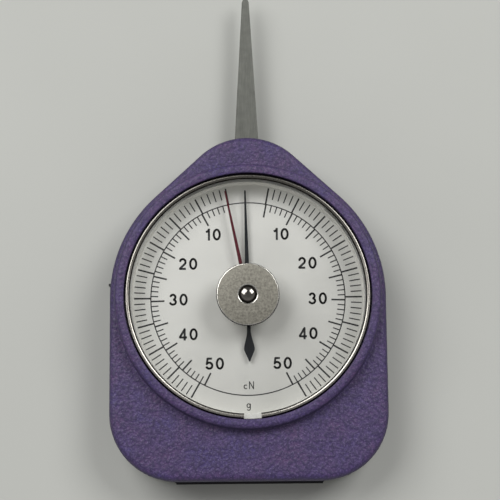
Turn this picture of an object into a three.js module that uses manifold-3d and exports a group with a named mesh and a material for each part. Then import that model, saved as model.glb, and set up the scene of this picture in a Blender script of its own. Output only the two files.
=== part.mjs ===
// Dial tension gauge, in millimetres: X to the right, Y along the feeler, Z out of the dial.
// It lies on its rear cover, with the origin on the dial axis at the cover's rear face.
import * as THREE from 'three';
import { mergeVertices } from 'three/addons/utils/BufferGeometryUtils.js';
import Module from 'manifold-3d';

const wasm = await Module();
wasm.setup();

// Window and what it holds, as radii about the dial axis
const crystalRadius = 26.7;
const crystalThickness = 1.5;
const fitGap = 0.2;
const collarWall = 2.1;
const collarOuterRound = 1;
const collarInnerRound = 0.3;
const collarRise = 2.6;
const collarLip = 0.5;
const ledgeWidth = 1.7;
const ledgeThickness = 0.8;
const dialThickness = 0.6;
const dialHoleRadius = 1.1;
const spacerWidth = 1.3;
const snapWireRadius = 0.6;
const snapWireLift = 0.05;
const snapWireReach = 0.05;
const snapGrooveDepth = 0.5;
const snapRingGap = 2.55;
const snapGapTurn = -88.2;

// Case outline and walls
const bodyShoulder = 1.2;
const pivotInset = 5.7;
const noseBeyondPivot = 11.1;
const noseRadius = 15.1;
const chin = 9.7;
const cornerRadius = 14.6;
const edgeFillet = 1.4;
const caseWall = 2.2;
const frontWall = 2;
const coverThickness = 1.5;
const coverChamfer = 0.3;
const coverFlange = 0.4;
const coverShoulderHeight = 3.2;
const coverLugReach = 1.2;
const coverLugHeight = 1.3;
const coverLugTip = 0.4;
const coverTab = 0.5;
const coverTabSpread = 0.6;
const bossRadius = 2.2;
const bossInset = 4;

// Layers of the movement, from the rear
const rearRoom = 0.4;
const plateThickness = 0.9;
const springLift = 0.3;
const leafWidth = 0.9;
const layerGap = 0.25;
const sectorThickness = 0.7;
const bladeThickness = 1;
const bladeRoom = 0.4;

// Gearing: the feeler's sector turns the pointer's pinion
const pinionTeeth = 10;
const sectorTeethPerTurn = 130;
const sectorTeeth = 14;
const addendumShare = 0.83;
const dedendumShare = 1.14;
const thinningShare = 0.13;
const pressureAngle = THREE.MathUtils.degToRad(20);
const flankSteps = 3;
const feelerSwing = THREE.MathUtils.degToRad(12.2);

// Feeler and its sector
const feelerExposed = 35.4;
const feelerRootWidth = 5.5;
const feelerTipWidth = 1.1;
const feelerTipLength = 1.5;
const feelerHubRadius = 3.4;
const feelerHubSpread = THREE.MathUtils.degToRad(30);
const feelerSlotGap = 0.5;
const feelerArborRadius = 1.2;
const pivotRadius = 0.45;
const shaftShoulder = 0.15;
const sectorHubRadius = 3.6;
const sectorRim = 1.7;
const sectorSpoke = 1.8;
const sectorWebRadius = 12.4;
const rivetRadius = 0.45;
const rivetHeadRadius = 0.75;
const rivetHeadHeight = 0.15;
const rivetReach = 2.4;
const drivePinRadius = 0.65;
const drivePinReach = 9.1;

// Springs, posts and stops
const leafThickness = 0.2;
const leafOverhang = 3.8;
const zeroPostRadius = 0.75;
const pinGap = 0.8;
const springRestGap = 0.2;
const springBlockWidth = 4.4;
const springBlockLength = 5;
const springBlockRise = 1.5;
const springBlockSpread = 9;
const springBlockDrop = 8.6;
const springScrewSide = 1.25;
const stopPinRadius = 0.6;
const stopPinInset = 3.75;
const stopGap = 0.3;
const hairspringTurns = 3;
const hairspringPitch = 0.56;
const hairspringThickness = 0.12;
const hairspringWidth = 0.5;
const colletWall = 0.45;
const studRadius = 0.35;

// Plates, pillars and bushes
const upperPillarX = 7.6;
const upperPillarDrop = 2;
const lowerPillarDrop = 15;
const pillarRadius = 1.5;
const pillarPad = 4;
const frontLugRadius = 1.7;
const plateGap = 0.2;
const lowerLugAngle = THREE.MathUtils.degToRad(-56);
const bushWall = 0.7;
const pressGap = 0.05;
const runGap = 0.08;

// Pointer and drag hand
const pinionShaftRadius = 0.7;
const handThickness = 0.25;
const handHubLift = 0.2;
const pointerHubRadius = 1.5;
const pointerHubHeight = 0.7;
const hubNeckWall = 0.45;
const hubNeckRise = 0.2;
const pointerTipGap = 1.4;
const pointerRootWidth = 1.15;
const pointerTipWidth = 0.35;
const pointerTailReach = 14.1;
const spadeStart = 7.6;
const spadeMiddle = 11.3;
const spadeWidth = 2.4;
const spadeTipWidth = 0.3;
const tailNeckWidth = 0.8;
const pointerTurn = THREE.MathUtils.degToRad(1.1);
const pusherPinRadius = 0.3;
const pusherPinReach = 5.2;
const pusherPadWall = 0.3;
const pusherGap = 0.3;
const dragTipGap = 1.25;
const dragHandRootWidth = 1;
const dragHandTipWidth = 0.35;
const dragHubRadius = 1.8;
const dragHubHeight = 0.35;
const dragHubGap = 0.15;
const handsGap = 0.4;
const dragTurn = THREE.MathUtils.degToRad(11.6);

// Reset knob and its bearing in the crystal
const bushBarrelRadius = 2.2;
const bushFlangeRadius = 3;
const bushFlangeHeight = 0.4;
const bushNutThickness = 0.5;
const dragArborRadius = 0.9;
const knobRadius = 6.9;
const knobHeight = 1.6;
const knobLift = 0.1;
const knobChamfer = 0.35;
const knurlDepth = 0.2;
const knurlCount = 48;
const knobRecessRadius = 3.4;
const knobRecessDepth = 0.35;
const washerWall = 1.6;
const washerThickness = 0.12;
const washerWave = 0.08;
const washerWaves = 3;
const domeRadius = 1.9;
const domeHeight = 1.3;
const domeSink = 0.6;
const domeRing = 0.3;

// Screws
const coverScrewRadius = 0.9;
const coverHeadRadius = 1.9;
const coverHeadDepth = 1;
const coverScrewLength = 5.2;
const smallScrewRadius = 0.55;
const smallHeadRadius = 1.15;
const smallHeadHeight = 0.6;
const plateScrewBite = 2.4;
const pillarScrewBite = 1.6;
const screwGap = 0.08;
const slotShare = 0.24;
const slotDepth = 0.3;
const holeSpare = 0.5;

// One overrun serves all cuts, and corners nearer than the weld distance are one corner
const overrun = 1;
const weldDistance = 1e-5;

// Facets
const ringSegments = 60;
const discSegments = 24;
const smallSegments = 12;
const tinySegments = 12;
const arcSteps = 3;
const outlineStep = THREE.MathUtils.degToRad(7.5);
const wireSides = 6;
const wireSteps = 48;
const hairspringSteps = 16;
const domeSteps = 4;

// Places that follow from the sizes above
const boreRadius = crystalRadius + fitGap;
const ledgeRadius = boreRadius - ledgeWidth;
const snapGrooveRadius = boreRadius + snapGrooveDepth;
const collarRadius = boreRadius + collarWall;
const bodyRadius = collarRadius + bodyShoulder;
const spacerInner = crystalRadius - spacerWidth;
const pivotDistance = bodyRadius - pivotInset;
const toothModule = (2 * pivotDistance) / (pinionTeeth + sectorTeethPerTurn);
const addendum = toothModule * addendumShare;
const dedendum = toothModule * dedendumShare;
const toothThinning = toothModule * thinningShare;
const sectorPitchRadius = (toothModule * sectorTeethPerTurn) / 2;
const stopPinReach = sectorPitchRadius - stopPinInset;
const zeroPostReach = drivePinReach + drivePinRadius + pinGap + zeroPostRadius;
const noseReach = pivotDistance + noseBeyondPivot;
const bodyDrop = bodyRadius + chin;
const pocketDrop = bodyDrop - caseWall;
const lugCircle = boreRadius + collarWall / 2;
const noseTilt = Math.asin((bodyRadius - noseRadius) / (noseReach - noseRadius));
const lugReach = bodyRadius - caseWall - plateGap - frontLugRadius;
const upperLugAngle = noseTilt + Math.acos(lugReach / lugCircle);
const pointerReach = spacerInner - pointerTipGap;
const dragHandReach = spacerInner - dragTipGap;

// Heights that follow from the layers
const backPlateBottom = coverThickness + rearRoom;
const backPlateTop = backPlateBottom + plateThickness;
const springBottom = backPlateTop + springLift;
const springTop = springBottom + leafWidth;
const sectorBottom = springTop + layerGap;
const sectorTop = sectorBottom + sectorThickness;
const bladeTop = sectorTop + bladeThickness;
const frontPlateBottom = bladeTop + bladeRoom;
const frontPlateTop = frontPlateBottom + plateThickness;
const dialSeat = frontPlateTop + ledgeThickness;
const dialTop = dialSeat + dialThickness;
const pointerHubBottom = dialTop + handHubLift;
const pointerHandBottom = pointerHubBottom + pointerHubHeight;
const pointerHandTop = pointerHandBottom + handThickness;
const pointerHubTop = pointerHandTop + hubNeckRise;
const dragHubBottom = pointerHubTop + handsGap;
const dragHandBottom = dragHubBottom + hubNeckRise;
const dragHandTop = dragHandBottom + handThickness;
const dragHubTop = dragHandTop + dragHubHeight;
const bushNutBottom = dragHubTop + dragHubGap;
const crystalBottom = bushNutBottom + bushNutThickness;
const crystalTop = crystalBottom + crystalThickness;
const snapWireHeight = crystalTop + snapWireLift + snapWireRadius;
const collarTop = snapWireHeight + snapWireRadius + collarLip;
const frontFace = collarTop - collarRise;
const frontWallInside = frontFace - frontWall;
const bushTop = crystalTop + bushFlangeHeight;
const knobBottom = bushTop + knobLift;
const knobTop = knobBottom + knobHeight;
const domeSeat = knobTop - domeSink;

// Geometry helpers: each takes or gives a closed geometry
function solidOf(geometry) {
  const bare = new THREE.BufferGeometry();
  bare.setAttribute('position', geometry.getAttribute('position'));
  bare.setIndex(geometry.getIndex());
  const merged = mergeVertices(bare, weldDistance);
  const corners = merged.getIndex().array;
  const triangles = [];
  for (let i = 0; i < corners.length; i += 3) {
    const [a, b, c] = corners.slice(i, i + 3);
    if (a !== b && b !== c && c !== a) {
      triangles.push(a, b, c);
    }
  }
  const vertProperties = Float32Array.from(merged.getAttribute('position').array);
  const triVerts = Uint32Array.from(triangles);
  return new wasm.Manifold(new wasm.Mesh({ numProp: 3, vertProperties, triVerts }));
}

function geometryOf(solid) {
  const mesh = solid.getMesh();
  const geometry = new THREE.BufferGeometry();
  geometry.setAttribute('position', new THREE.BufferAttribute(mesh.vertProperties, mesh.numProp));
  geometry.setIndex(new THREE.BufferAttribute(mesh.triVerts, 1));
  return geometry;
}

function cut(base, tools) {
  const left = tools.reduce((solid, tool) => solid.subtract(solidOf(tool)), solidOf(base));
  return geometryOf(left);
}

function join(parts) {
  const [first, ...rest] = parts;
  const whole = rest.reduce((solid, part) => solid.add(solidOf(part)), solidOf(first));
  return geometryOf(whole);
}

function common(first, second) {
  return geometryOf(solidOf(first).intersect(solidOf(second)));
}

// A profile of [radius, height] pairs, anticlockwise, turned about the Z axis
function turned(profile, segments) {
  const onAxis = profile[0][0] === 0;
  const closed = onAxis ? profile : [...profile, profile[0]];
  const points = closed.map(([radius, height]) => new THREE.Vector2(radius, height));
  const geometry = new THREE.LatheGeometry(points, segments);
  geometry.rotateX(Math.PI / 2);
  return geometry;
}

function disc(radius, bottom, top, segments) {
  return turned([[0, bottom], [radius, bottom], [radius, top], [0, top]], segments);
}

function washer(inner, outer, bottom, top, segments) {
  return turned([[inner, bottom], [outer, bottom], [outer, top], [inner, top]], segments);
}

function moved(geometry, x, y) {
  return geometry.translate(x, y, 0);
}

function discAt(place, radius, bottom, top, segments = smallSegments) {
  return moved(disc(radius, bottom, top, segments), place.x, place.y);
}

function extruded(outline, bottom, top, holes = []) {
  const shape = new THREE.Shape(outline);
  shape.holes = holes.map((hole) => new THREE.Path(hole));
  const geometry = new THREE.ExtrudeGeometry(shape, { depth: top - bottom, bevelEnabled: false });
  return geometry.translate(0, 0, bottom);
}

function block(x0, x1, y0, y1, bottom, top) {
  const corners = [[x0, y0], [x1, y0], [x1, y1], [x0, y1]];
  return extruded(corners.map(([x, y]) => new THREE.Vector2(x, y)), bottom, top);
}

function polar(radius, angle, centre = [0, 0]) {
  return new THREE.Vector2(centre[0] + radius * Math.cos(angle), centre[1] + radius * Math.sin(angle));
}

function arc(centre, radius, from, to, steps) {
  const angles = Array.from({ length: steps + 1 }, (_, i) => from + ((to - from) * i) / steps);
  return angles.map((angle) => polar(radius, angle, centre));
}

// The outline round circles {x, y, r} listed anticlockwise: an arc on each, joined by tangents
function roundedOutline(circles, inset = 0) {
  const normals = circles.map((circle, i) => {
    const next = circles[(i + 1) % circles.length];
    const distance = Math.hypot(next.x - circle.x, next.y - circle.y);
    const heading = Math.atan2(next.y - circle.y, next.x - circle.x);
    return heading - Math.acos((circle.r - next.r) / distance);
  });
  return circles.flatMap((circle, i) => {
    const from = normals[(i + circles.length - 1) % circles.length];
    const sweep = THREE.MathUtils.euclideanModulo(normals[i] - from, 2 * Math.PI);
    const steps = Math.max(1, Math.ceil(sweep / outlineStep));
    return arc([circle.x, circle.y], circle.r - inset, from, from + sweep, steps);
  });
}

// Equal outlines at rising heights, joined by walls and closed at both ends
function lofted(rings) {
  const count = rings[0].outline.length;
  const positions = rings.flatMap((ring) => ring.outline.flatMap((p) => [p.x, p.y, ring.height]));
  const index = [];
  for (let level = 0; level + 1 < rings.length; level += 1) {
    for (let i = 0; i < count; i += 1) {
      const a = level * count + i;
      const b = level * count + ((i + 1) % count);
      index.push(a, b, b + count, a, b + count, a + count);
    }
  }
  const last = (rings.length - 1) * count;
  for (const [a, b, c] of THREE.ShapeUtils.triangulateShape(rings[0].outline, [])) {
    index.push(c, b, a, last + a, last + b, last + c);
  }
  const geometry = new THREE.BufferGeometry();
  geometry.setAttribute('position', new THREE.Float32BufferAttribute(positions, 3));
  geometry.setIndex(index);
  return geometry;
}

// The case outline: a round body, a rounded nose and two rounded lower corners
function bodyOutline(inset) {
  const cornerX = bodyRadius - cornerRadius;
  const cornerY = cornerRadius - bodyDrop;
  return roundedOutline(
    [
      { x: cornerX, y: cornerY, r: cornerRadius },
      { x: 0, y: 0, r: bodyRadius },
      { x: 0, y: noseReach - noseRadius, r: noseRadius },
      { x: 0, y: 0, r: bodyRadius },
      { x: -cornerX, y: cornerY, r: cornerRadius },
    ],
    inset,
  );
}

// Screws point along +Z, with the underside or rim of the head at height zero
function slot(headRadius, bottom) {
  const half = headRadius * slotShare;
  const reach = headRadius + overrun;
  return block(-reach, reach, -half, half, bottom - overrun, bottom + slotDepth);
}

function sunkScrew(radius, headRadius, headDepth, length) {
  const body = [[0, 0], [headRadius, 0], [radius, headDepth], [radius, length], [0, length]];
  return cut(turned(body, smallSegments), [slot(headRadius, 0)]);
}

function sunkHole(radius, headRadius, headDepth, length) {
  const wide = headRadius + screwGap;
  const narrow = radius + screwGap;
  const top = length + holeSpare;
  const mouth = [[0, -overrun], [wide, -overrun], [wide, 0]];
  const profile = [...mouth, [narrow, headDepth], [narrow, top], [0, top]];
  return turned(profile, smallSegments);
}

function panScrew(radius, headRadius, headHeight, length) {
  const head = [[0, -headHeight], [headRadius, -headHeight], [headRadius, 0]];
  const body = turned([...head, [radius, 0], [radius, length], [0, length]], smallSegments);
  return cut(body, [slot(headRadius, -headHeight)]);
}

// Places used by more than one piece
const coverScrewPlaces = (() => {
  const upper = polar(bodyRadius - bossInset, Math.PI / 4);
  const corner = [bodyRadius - cornerRadius, cornerRadius - bodyDrop];
  const lower = polar(cornerRadius - bossInset, -Math.PI / 4, corner);
  return [upper, new THREE.Vector2(-upper.x, upper.y), new THREE.Vector2(-lower.x, lower.y), lower];
})();

const plateScrewPlaces = [lowerLugAngle, upperLugAngle, Math.PI - upperLugAngle, Math.PI - lowerLugAngle].map(
  (angle) => polar(lugCircle, angle),
);

const pillarPlaces = [
  new THREE.Vector2(upperPillarX, pivotDistance - upperPillarDrop),
  new THREE.Vector2(-upperPillarX, pivotDistance - upperPillarDrop),
  new THREE.Vector2(0, -lowerPillarDrop),
];

const arborPlaces = { pointer: new THREE.Vector2(0, 0), feeler: new THREE.Vector2(0, pivotDistance) };

const zeroPostPlace = new THREE.Vector2(0, pivotDistance - zeroPostReach);

// The sector's straight sides, from its hub to its last teeth, come up to the stop pins
const stopPinPlaces = [1, -1].map((side) => {
  const lastTooth = polar(sectorPitchRadius - dedendum, (Math.PI * sectorTeeth) / sectorTeethPerTurn);
  const tilt = Math.atan2(lastTooth.y - sectorHubRadius, lastTooth.x);
  const sideDistance = sectorHubRadius * Math.cos(tilt) + stopPinRadius + stopGap;
  const away = tilt + feelerSwing + Math.asin(sideDistance / stopPinReach);
  return polar(stopPinReach, -Math.PI / 2 + side * away, [0, pivotDistance]);
});

const pushFromCentre = Math.max(zeroPostRadius, drivePinRadius) + springRestGap + leafThickness / 2;
const springFoot = new THREE.Vector2(springBlockSpread, springBlockDrop - pocketDrop);
const springHead = new THREE.Vector2(pushFromCentre, zeroPostPlace.y + leafOverhang);
const springLength = springFoot.distanceTo(springHead);
const springTurn = Math.atan2(springFoot.x - springHead.x, springHead.y - springFoot.y);
const studReach = pinionShaftRadius + colletWall + hairspringPitch * (hairspringTurns + 1);

// Case pieces
function frontHousing() {
  const rings = [{ outline: bodyOutline(0), height: coverThickness }];
  for (const step of arc([0, 0], edgeFillet, 0, Math.PI / 2, arcSteps)) {
    rings.push({ outline: bodyOutline(edgeFillet - step.x), height: frontFace - edgeFillet + step.y });
  }
  const pocket = extruded(bodyOutline(caseWall), coverThickness - overrun, frontWallInside);
  const shell = cut(lofted(rings), [pocket]);
  const crownCentre = [collarRadius - collarOuterRound, collarTop - collarOuterRound];
  const crown = arc(crownCentre, collarOuterRound, 0, Math.PI / 2, arcSteps).map((p) => [p.x, p.y]);
  const foot = [[0, frontPlateTop], [collarRadius, frontPlateTop]];
  const collar = turned([...foot, ...crown, [0, collarTop]], ringSegments);
  const bossTop = frontWallInside + frontWall / 2;
  const bosses = coverScrewPlaces.map((place) => discAt(place, bossRadius, coverThickness, bossTop));
  const holeTop = frontPlateTop + plateScrewBite + holeSpare;
  const plateHoles = plateScrewPlaces.map((place) =>
    discAt(place, smallScrewRadius + screwGap, frontPlateTop - overrun, holeTop),
  );
  const cutters = [windowCutter(), noseSlot(), ...coverScrewHoles(), ...plateHoles];
  return cut(join([shell, collar, ...bosses]), cutters);
}

function coverScrewAt(place) {
  const screw = sunkScrew(coverScrewRadius, coverHeadRadius, coverHeadDepth, coverScrewLength);
  return moved(screw, place.x, place.y);
}

function coverScrewHoles() {
  return coverScrewPlaces.map((place) => {
    const hole = sunkHole(coverScrewRadius, coverHeadRadius, coverHeadDepth, coverScrewLength);
    return moved(hole, place.x, place.y);
  });
}

function windowCutter() {
  const grooveBottom = crystalTop;
  const grooveTop = snapWireHeight + snapWireRadius + snapWireLift;
  const lipCentre = [boreRadius + collarInnerRound, collarTop - collarInnerRound];
  const lip = arc(lipCentre, collarInnerRound, Math.PI, Math.PI / 2, arcSteps);
  return turned(
    [
      [0, frontPlateTop],
      [ledgeRadius, frontPlateTop],
      [ledgeRadius, dialSeat],
      [boreRadius, dialSeat],
      [boreRadius, grooveBottom],
      [snapGrooveRadius, grooveBottom],
      [snapGrooveRadius, grooveTop],
      [boreRadius, grooveTop],
      ...lip.map((p) => [p.x, p.y]),
      [boreRadius + collarInnerRound, collarTop + overrun],
      [0, collarTop + overrun],
    ],
    ringSegments,
  );
}

function noseSlot() {
  const swung = noseBeyondPivot * Math.tan(feelerSwing) + feelerRootWidth / 2 / Math.cos(feelerSwing);
  const half = swung + feelerSlotGap;
  const inside = noseReach - 2 * caseWall;
  return block(-half, half, inside, noseReach + overrun, coverThickness - overrun, frontPlateBottom);
}

function rearCover() {
  const sheet = lofted([
    { outline: bodyOutline(coverChamfer), height: 0 },
    { outline: bodyOutline(0), height: coverChamfer },
    { outline: bodyOutline(0), height: coverThickness },
  ]);
  const side = bodyRadius + coverFlange;
  const foot = cornerRadius - bodyDrop;
  const flange = block(-side, side, foot, coverShoulderHeight, coverChamfer, coverThickness);
  const tabHalf = bodyRadius - cornerRadius + coverTabSpread;
  const tab = block(-tabHalf, tabHalf, -bodyDrop - coverTab, foot, coverChamfer, coverThickness);
  return cut(join([sheet, flange, tab, coverLug()]), coverScrewHoles());
}

// A small pointed lug above the left flange, by which the cover is prised off
function coverLug() {
  const tip = bodyRadius + coverLugReach;
  const head = coverShoulderHeight + coverLugHeight;
  const outline = [
    [caseWall - bodyRadius, coverShoulderHeight],
    [caseWall - bodyRadius, head],
    [-tip, head],
    [-tip, head - coverLugTip],
    [-bodyRadius - coverFlange, coverShoulderHeight],
  ].map(([x, y]) => new THREE.Vector2(x, y));
  return extruded(outline, coverChamfer, coverThickness);
}

function spacerRing() {
  return washer(spacerInner, crystalRadius, dialTop, crystalBottom, ringSegments);
}

function dialPlate() {
  return washer(dialHoleRadius, crystalRadius, dialSeat, dialTop, ringSegments);
}

function crystal() {
  return washer(bushBarrelRadius + runGap, crystalRadius, crystalBottom, crystalTop, ringSegments);
}

class RingPath extends THREE.Curve {
  constructor(radius, from, to, height) {
    super();
    Object.assign(this, { radius, from, to, height });
  }

  getPoint(t, target = new THREE.Vector3()) {
    const angle = this.from + (this.to - this.from) * t;
    return target.set(this.radius * Math.cos(angle), this.radius * Math.sin(angle), this.height);
  }
}

function snapRing() {
  const radius = boreRadius + snapWireReach - snapWireRadius;
  const open = (snapRingGap + 2 * snapWireRadius) / radius;
  const from = THREE.MathUtils.degToRad(snapGapTurn) + open / 2;
  const path = new RingPath(radius, from, from + 2 * Math.PI - open, snapWireHeight);
  const section = new THREE.Shape(arc([0, 0], snapWireRadius, 0, 2 * Math.PI, wireSides).slice(1));
  return new THREE.ExtrudeGeometry(section, { steps: wireSteps, extrudePath: path });
}

function crystalBush() {
  const bore = dragArborRadius + runGap;
  return turned(
    [
      [bore, bushNutBottom],
      [bushBarrelRadius, bushNutBottom],
      [bushBarrelRadius, crystalTop],
      [bushFlangeRadius, crystalTop],
      [bushFlangeRadius, bushTop],
      [bore, bushTop],
    ],
    discSegments,
  );
}

function bushNut() {
  const outline = arc([0, 0], bushFlangeRadius, 0, 2 * Math.PI, 6).slice(1);
  const nut = extruded(outline, bushNutBottom, crystalBottom);
  const bore = bushBarrelRadius + pressGap;
  return cut(nut, [disc(bore, bushNutBottom - overrun, crystalBottom + overrun, discSegments)]);
}

function frictionWasher() {
  const middle = bushTop + washerWave + washerThickness;
  const inner = dragArborRadius + runGap;
  const half = washerThickness / 2;
  const geometry = washer(inner, inner + washerWall, middle - half, middle + half, discSegments);
  const positions = geometry.getAttribute('position');
  for (let i = 0; i < positions.count; i += 1) {
    const angle = Math.atan2(positions.getY(i), positions.getX(i));
    positions.setZ(i, positions.getZ(i) + washerWave * Math.cos(washerWaves * angle));
  }
  return geometry;
}

// Movement plates, with the holes that their bushes, pillars and screws need
function bushHoles(bottom, top) {
  const radius = pivotRadius + runGap + bushWall + pressGap;
  return Object.values(arborPlaces).map((place) => discAt(place, radius, bottom - overrun, top + overrun));
}

function frontPlate() {
  const circles = plateScrewPlaces.map((place) => ({ x: place.x, y: place.y, r: frontLugRadius }));
  const holeRadius = smallScrewRadius + screwGap;
  const screwHoles = plateScrewPlaces.map((place) =>
    discAt(place, holeRadius, frontPlateBottom - overrun, frontPlateTop + overrun),
  );
  return cut(extruded(roundedOutline(circles), frontPlateBottom, frontPlateTop), [
    ...bushHoles(frontPlateBottom, frontPlateTop),
    ...screwHoles,
  ]);
}

function backPlate() {
  const footX = springFoot.x;
  const footY = springFoot.y;
  const [right, left] = pillarPlaces;
  const circles = [
    { x: footX, y: footY, r: pillarPad },
    { x: right.x, y: right.y, r: pillarPad },
    { x: left.x, y: left.y, r: pillarPad },
    { x: -footX, y: footY, r: pillarPad },
  ];
  const sinks = [...pillarPlaces, ...springScrewPlaces()].map((place) => smallSinkAt(place));
  return cut(extruded(roundedOutline(circles), backPlateBottom, backPlateTop), [
    ...bushHoles(backPlateBottom, backPlateTop),
    ...sinks,
  ]);
}

function smallSinkAt(place) {
  const length = plateThickness + pillarScrewBite;
  const hole = sunkHole(smallScrewRadius, smallHeadRadius, smallHeadHeight, length);
  return moved(hole.translate(0, 0, backPlateBottom), place.x, place.y);
}

function smallScrewAt(place, bite) {
  const screw = sunkScrew(smallScrewRadius, smallHeadRadius, smallHeadHeight, plateThickness + bite);
  return moved(screw.translate(0, 0, backPlateBottom), place.x, place.y);
}

function pillarScrewAt(place) {
  return smallScrewAt(place, pillarScrewBite);
}

function plateScrewAt(place) {
  const length = plateThickness + plateScrewBite;
  const screw = panScrew(smallScrewRadius, smallHeadRadius, smallHeadHeight, length);
  return moved(screw.translate(0, 0, frontPlateBottom), place.x, place.y);
}

function pillar(place) {
  const whole = disc(pillarRadius, backPlateTop, frontPlateBottom, smallSegments);
  const depth = backPlateTop + pillarScrewBite + holeSpare;
  const bore = disc(smallScrewRadius + screwGap, backPlateTop - overrun, depth, smallSegments);
  return moved(cut(whole, [bore]), place.x, place.y);
}

function bearingBush(place, bottom, top) {
  const bore = pivotRadius + runGap;
  return moved(washer(bore, bore + bushWall, bottom, top, smallSegments), place.x, place.y);
}

function post(place, radius, top) {
  return discAt(place, radius, backPlateTop, top, tinySegments);
}

// Leaf springs: each lies along +Y from its block, which is then turned to lean on the zero post
function springScrewPlaces() {
  return [1, -1].map((side) => {
    const along = new THREE.Vector2(springScrewSide, 0).rotateAround(new THREE.Vector2(), springTurn);
    return new THREE.Vector2(side * (springFoot.x + along.x), springFoot.y + along.y);
  });
}

function leafSpring() {
  const half = leafThickness / 2;
  return block(-half, half, -springBlockLength / 2, springLength, springBottom, springTop);
}

function springBlock(side) {
  const half = springBlockWidth / 2;
  const reach = springBlockLength / 2;
  const top = backPlateTop + springBlockRise;
  const slit = leafThickness / 2 + pressGap;
  const body = block(-half, half, -reach, reach, backPlateTop, top);
  const far = reach + overrun;
  const groove = block(-slit, slit, -far, far, springBottom - pressGap, top + overrun);
  const bore = disc(smallScrewRadius + screwGap, backPlateTop - overrun, top + overrun, smallSegments);
  return cut(body, [groove, moved(bore, side * springScrewSide, 0)]);
}

// Gears
function toothFlank(teeth) {
  const pitchRadius = (toothModule * teeth) / 2;
  const baseRadius = pitchRadius * Math.cos(pressureAngle);
  const rootRadius = pitchRadius - dedendum;
  const tipRadius = pitchRadius + addendum;
  const involute = (angle) => Math.tan(angle) - angle;
  const pitchHalf = Math.PI / 2 / teeth - toothThinning / pitchRadius;
  return Array.from({ length: flankSteps + 1 }, (_, i) => {
    const radius = rootRadius + ((tipRadius - rootRadius) * i) / flankSteps;
    const roll = radius > baseRadius ? Math.acos(baseRadius / radius) : 0;
    return { radius, half: pitchHalf + involute(pressureAngle) - involute(roll) };
  });
}

function teethOutline(teeth, count, firstAngle) {
  const flank = toothFlank(teeth);
  const pitch = (2 * Math.PI) / teeth;
  return Array.from({ length: count }, (_, i) => firstAngle + i * pitch).flatMap((middle) => [
    ...flank.map(({ radius, half }) => polar(radius, middle - half)),
    ...flank.toReversed().map(({ radius, half }) => polar(radius, middle + half)),
  ]);
}

function pinionArbor() {
  const pinion = extruded(
    teethOutline(pinionTeeth, pinionTeeth, Math.PI / 2),
    sectorBottom - layerGap / 2,
    sectorTop + layerGap / 2,
  );
  return join([arborShaft(pinionShaftRadius, pointerHubTop), pinion]);
}

// A shaft with thin pivots in the bushes; its front pivot runs on to the given height
function arborShaft(radius, frontEnd) {
  const rearShoulder = backPlateTop + shaftShoulder;
  const frontShoulder = frontPlateBottom - shaftShoulder;
  return turned(
    [
      [0, backPlateBottom],
      [pivotRadius, backPlateBottom],
      [pivotRadius, rearShoulder],
      [radius, rearShoulder],
      [radius, frontShoulder],
      [pivotRadius, frontShoulder],
      [pivotRadius, frontEnd],
      [0, frontEnd],
    ],
    smallSegments,
  );
}

function sectorGear() {
  const pitch = (2 * Math.PI) / sectorTeethPerTurn;
  const first = -Math.PI / 2 - ((sectorTeeth - 1) * pitch) / 2;
  const teeth = teethOutline(sectorTeethPerTurn, sectorTeeth, first);
  const hub = arc([0, 0], sectorHubRadius, 0, Math.PI, 2 * arcSteps);
  const plate = extruded([...teeth, ...hub], sectorBottom, sectorTop);
  return cut(plate, [
    ...[1, -1].map((side) => sectorWindow(side)),
    sectorBore(0, 0, feelerArborRadius),
    sectorBore(rivetReach, 0, rivetRadius),
    sectorBore(-rivetReach, 0, rivetRadius),
    sectorBore(0, -drivePinReach, drivePinRadius),
  ]);
}

function sectorBore(x, y, radius) {
  return moved(disc(radius + pressGap, sectorBottom - overrun, bladeTop + overrun, tinySegments), x, y);
}

function sectorWindow(side) {
  const outer = sectorPitchRadius - dedendum - sectorRim;
  const edge = (Math.PI * (sectorTeeth - 1)) / sectorTeethPerTurn;
  const corner = (radius, gap) => polar(radius, -Math.PI / 2 + side * gap);
  const inside = [
    corner(sectorWebRadius, sectorSpoke / 2 / sectorWebRadius),
    corner(outer, sectorSpoke / 2 / outer),
    corner(outer, edge - sectorSpoke / outer),
    corner(sectorWebRadius, edge - sectorSpoke / sectorWebRadius),
  ];
  const outline = side > 0 ? inside.toReversed() : inside;
  return extruded(outline, sectorBottom - overrun, sectorTop + overrun);
}

// Feeler pieces, about the feeler arbor
function feelerBlade() {
  const tip = noseBeyondPivot + feelerExposed;
  const rootHalf = feelerRootWidth / 2;
  const tipHalf = feelerTipWidth / 2;
  const hubStart = Math.PI - feelerHubSpread;
  const hubEnd = 2 * Math.PI + feelerHubSpread;
  const hub = arc([0, 0], feelerHubRadius, hubStart, hubEnd, 4 * arcSteps);
  const outline = [
    ...hub,
    new THREE.Vector2(rootHalf, noseBeyondPivot),
    new THREE.Vector2(tipHalf, tip - feelerTipLength),
    new THREE.Vector2(tipHalf, tip),
    new THREE.Vector2(-tipHalf, tip),
    new THREE.Vector2(-tipHalf, tip - feelerTipLength),
    new THREE.Vector2(-rootHalf, noseBeyondPivot),
  ];
  return cut(extruded(outline, sectorTop, bladeTop), [
    sectorBore(0, 0, feelerArborRadius),
    sectorBore(rivetReach, 0, rivetRadius),
    sectorBore(-rivetReach, 0, rivetRadius),
  ]);
}

function rivet(side) {
  const profile = [
    [0, sectorBottom - rivetHeadHeight],
    [rivetHeadRadius, sectorBottom - rivetHeadHeight],
    [rivetHeadRadius, sectorBottom],
    [rivetRadius, sectorBottom],
    [rivetRadius, bladeTop],
    [rivetHeadRadius, bladeTop],
    [rivetHeadRadius, bladeTop + rivetHeadHeight],
    [0, bladeTop + rivetHeadHeight],
  ];
  return moved(turned(profile, tinySegments), side * rivetReach, 0);
}

function drivePin() {
  return moved(disc(drivePinRadius, springBottom, sectorTop, tinySegments), 0, -drivePinReach);
}

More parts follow.
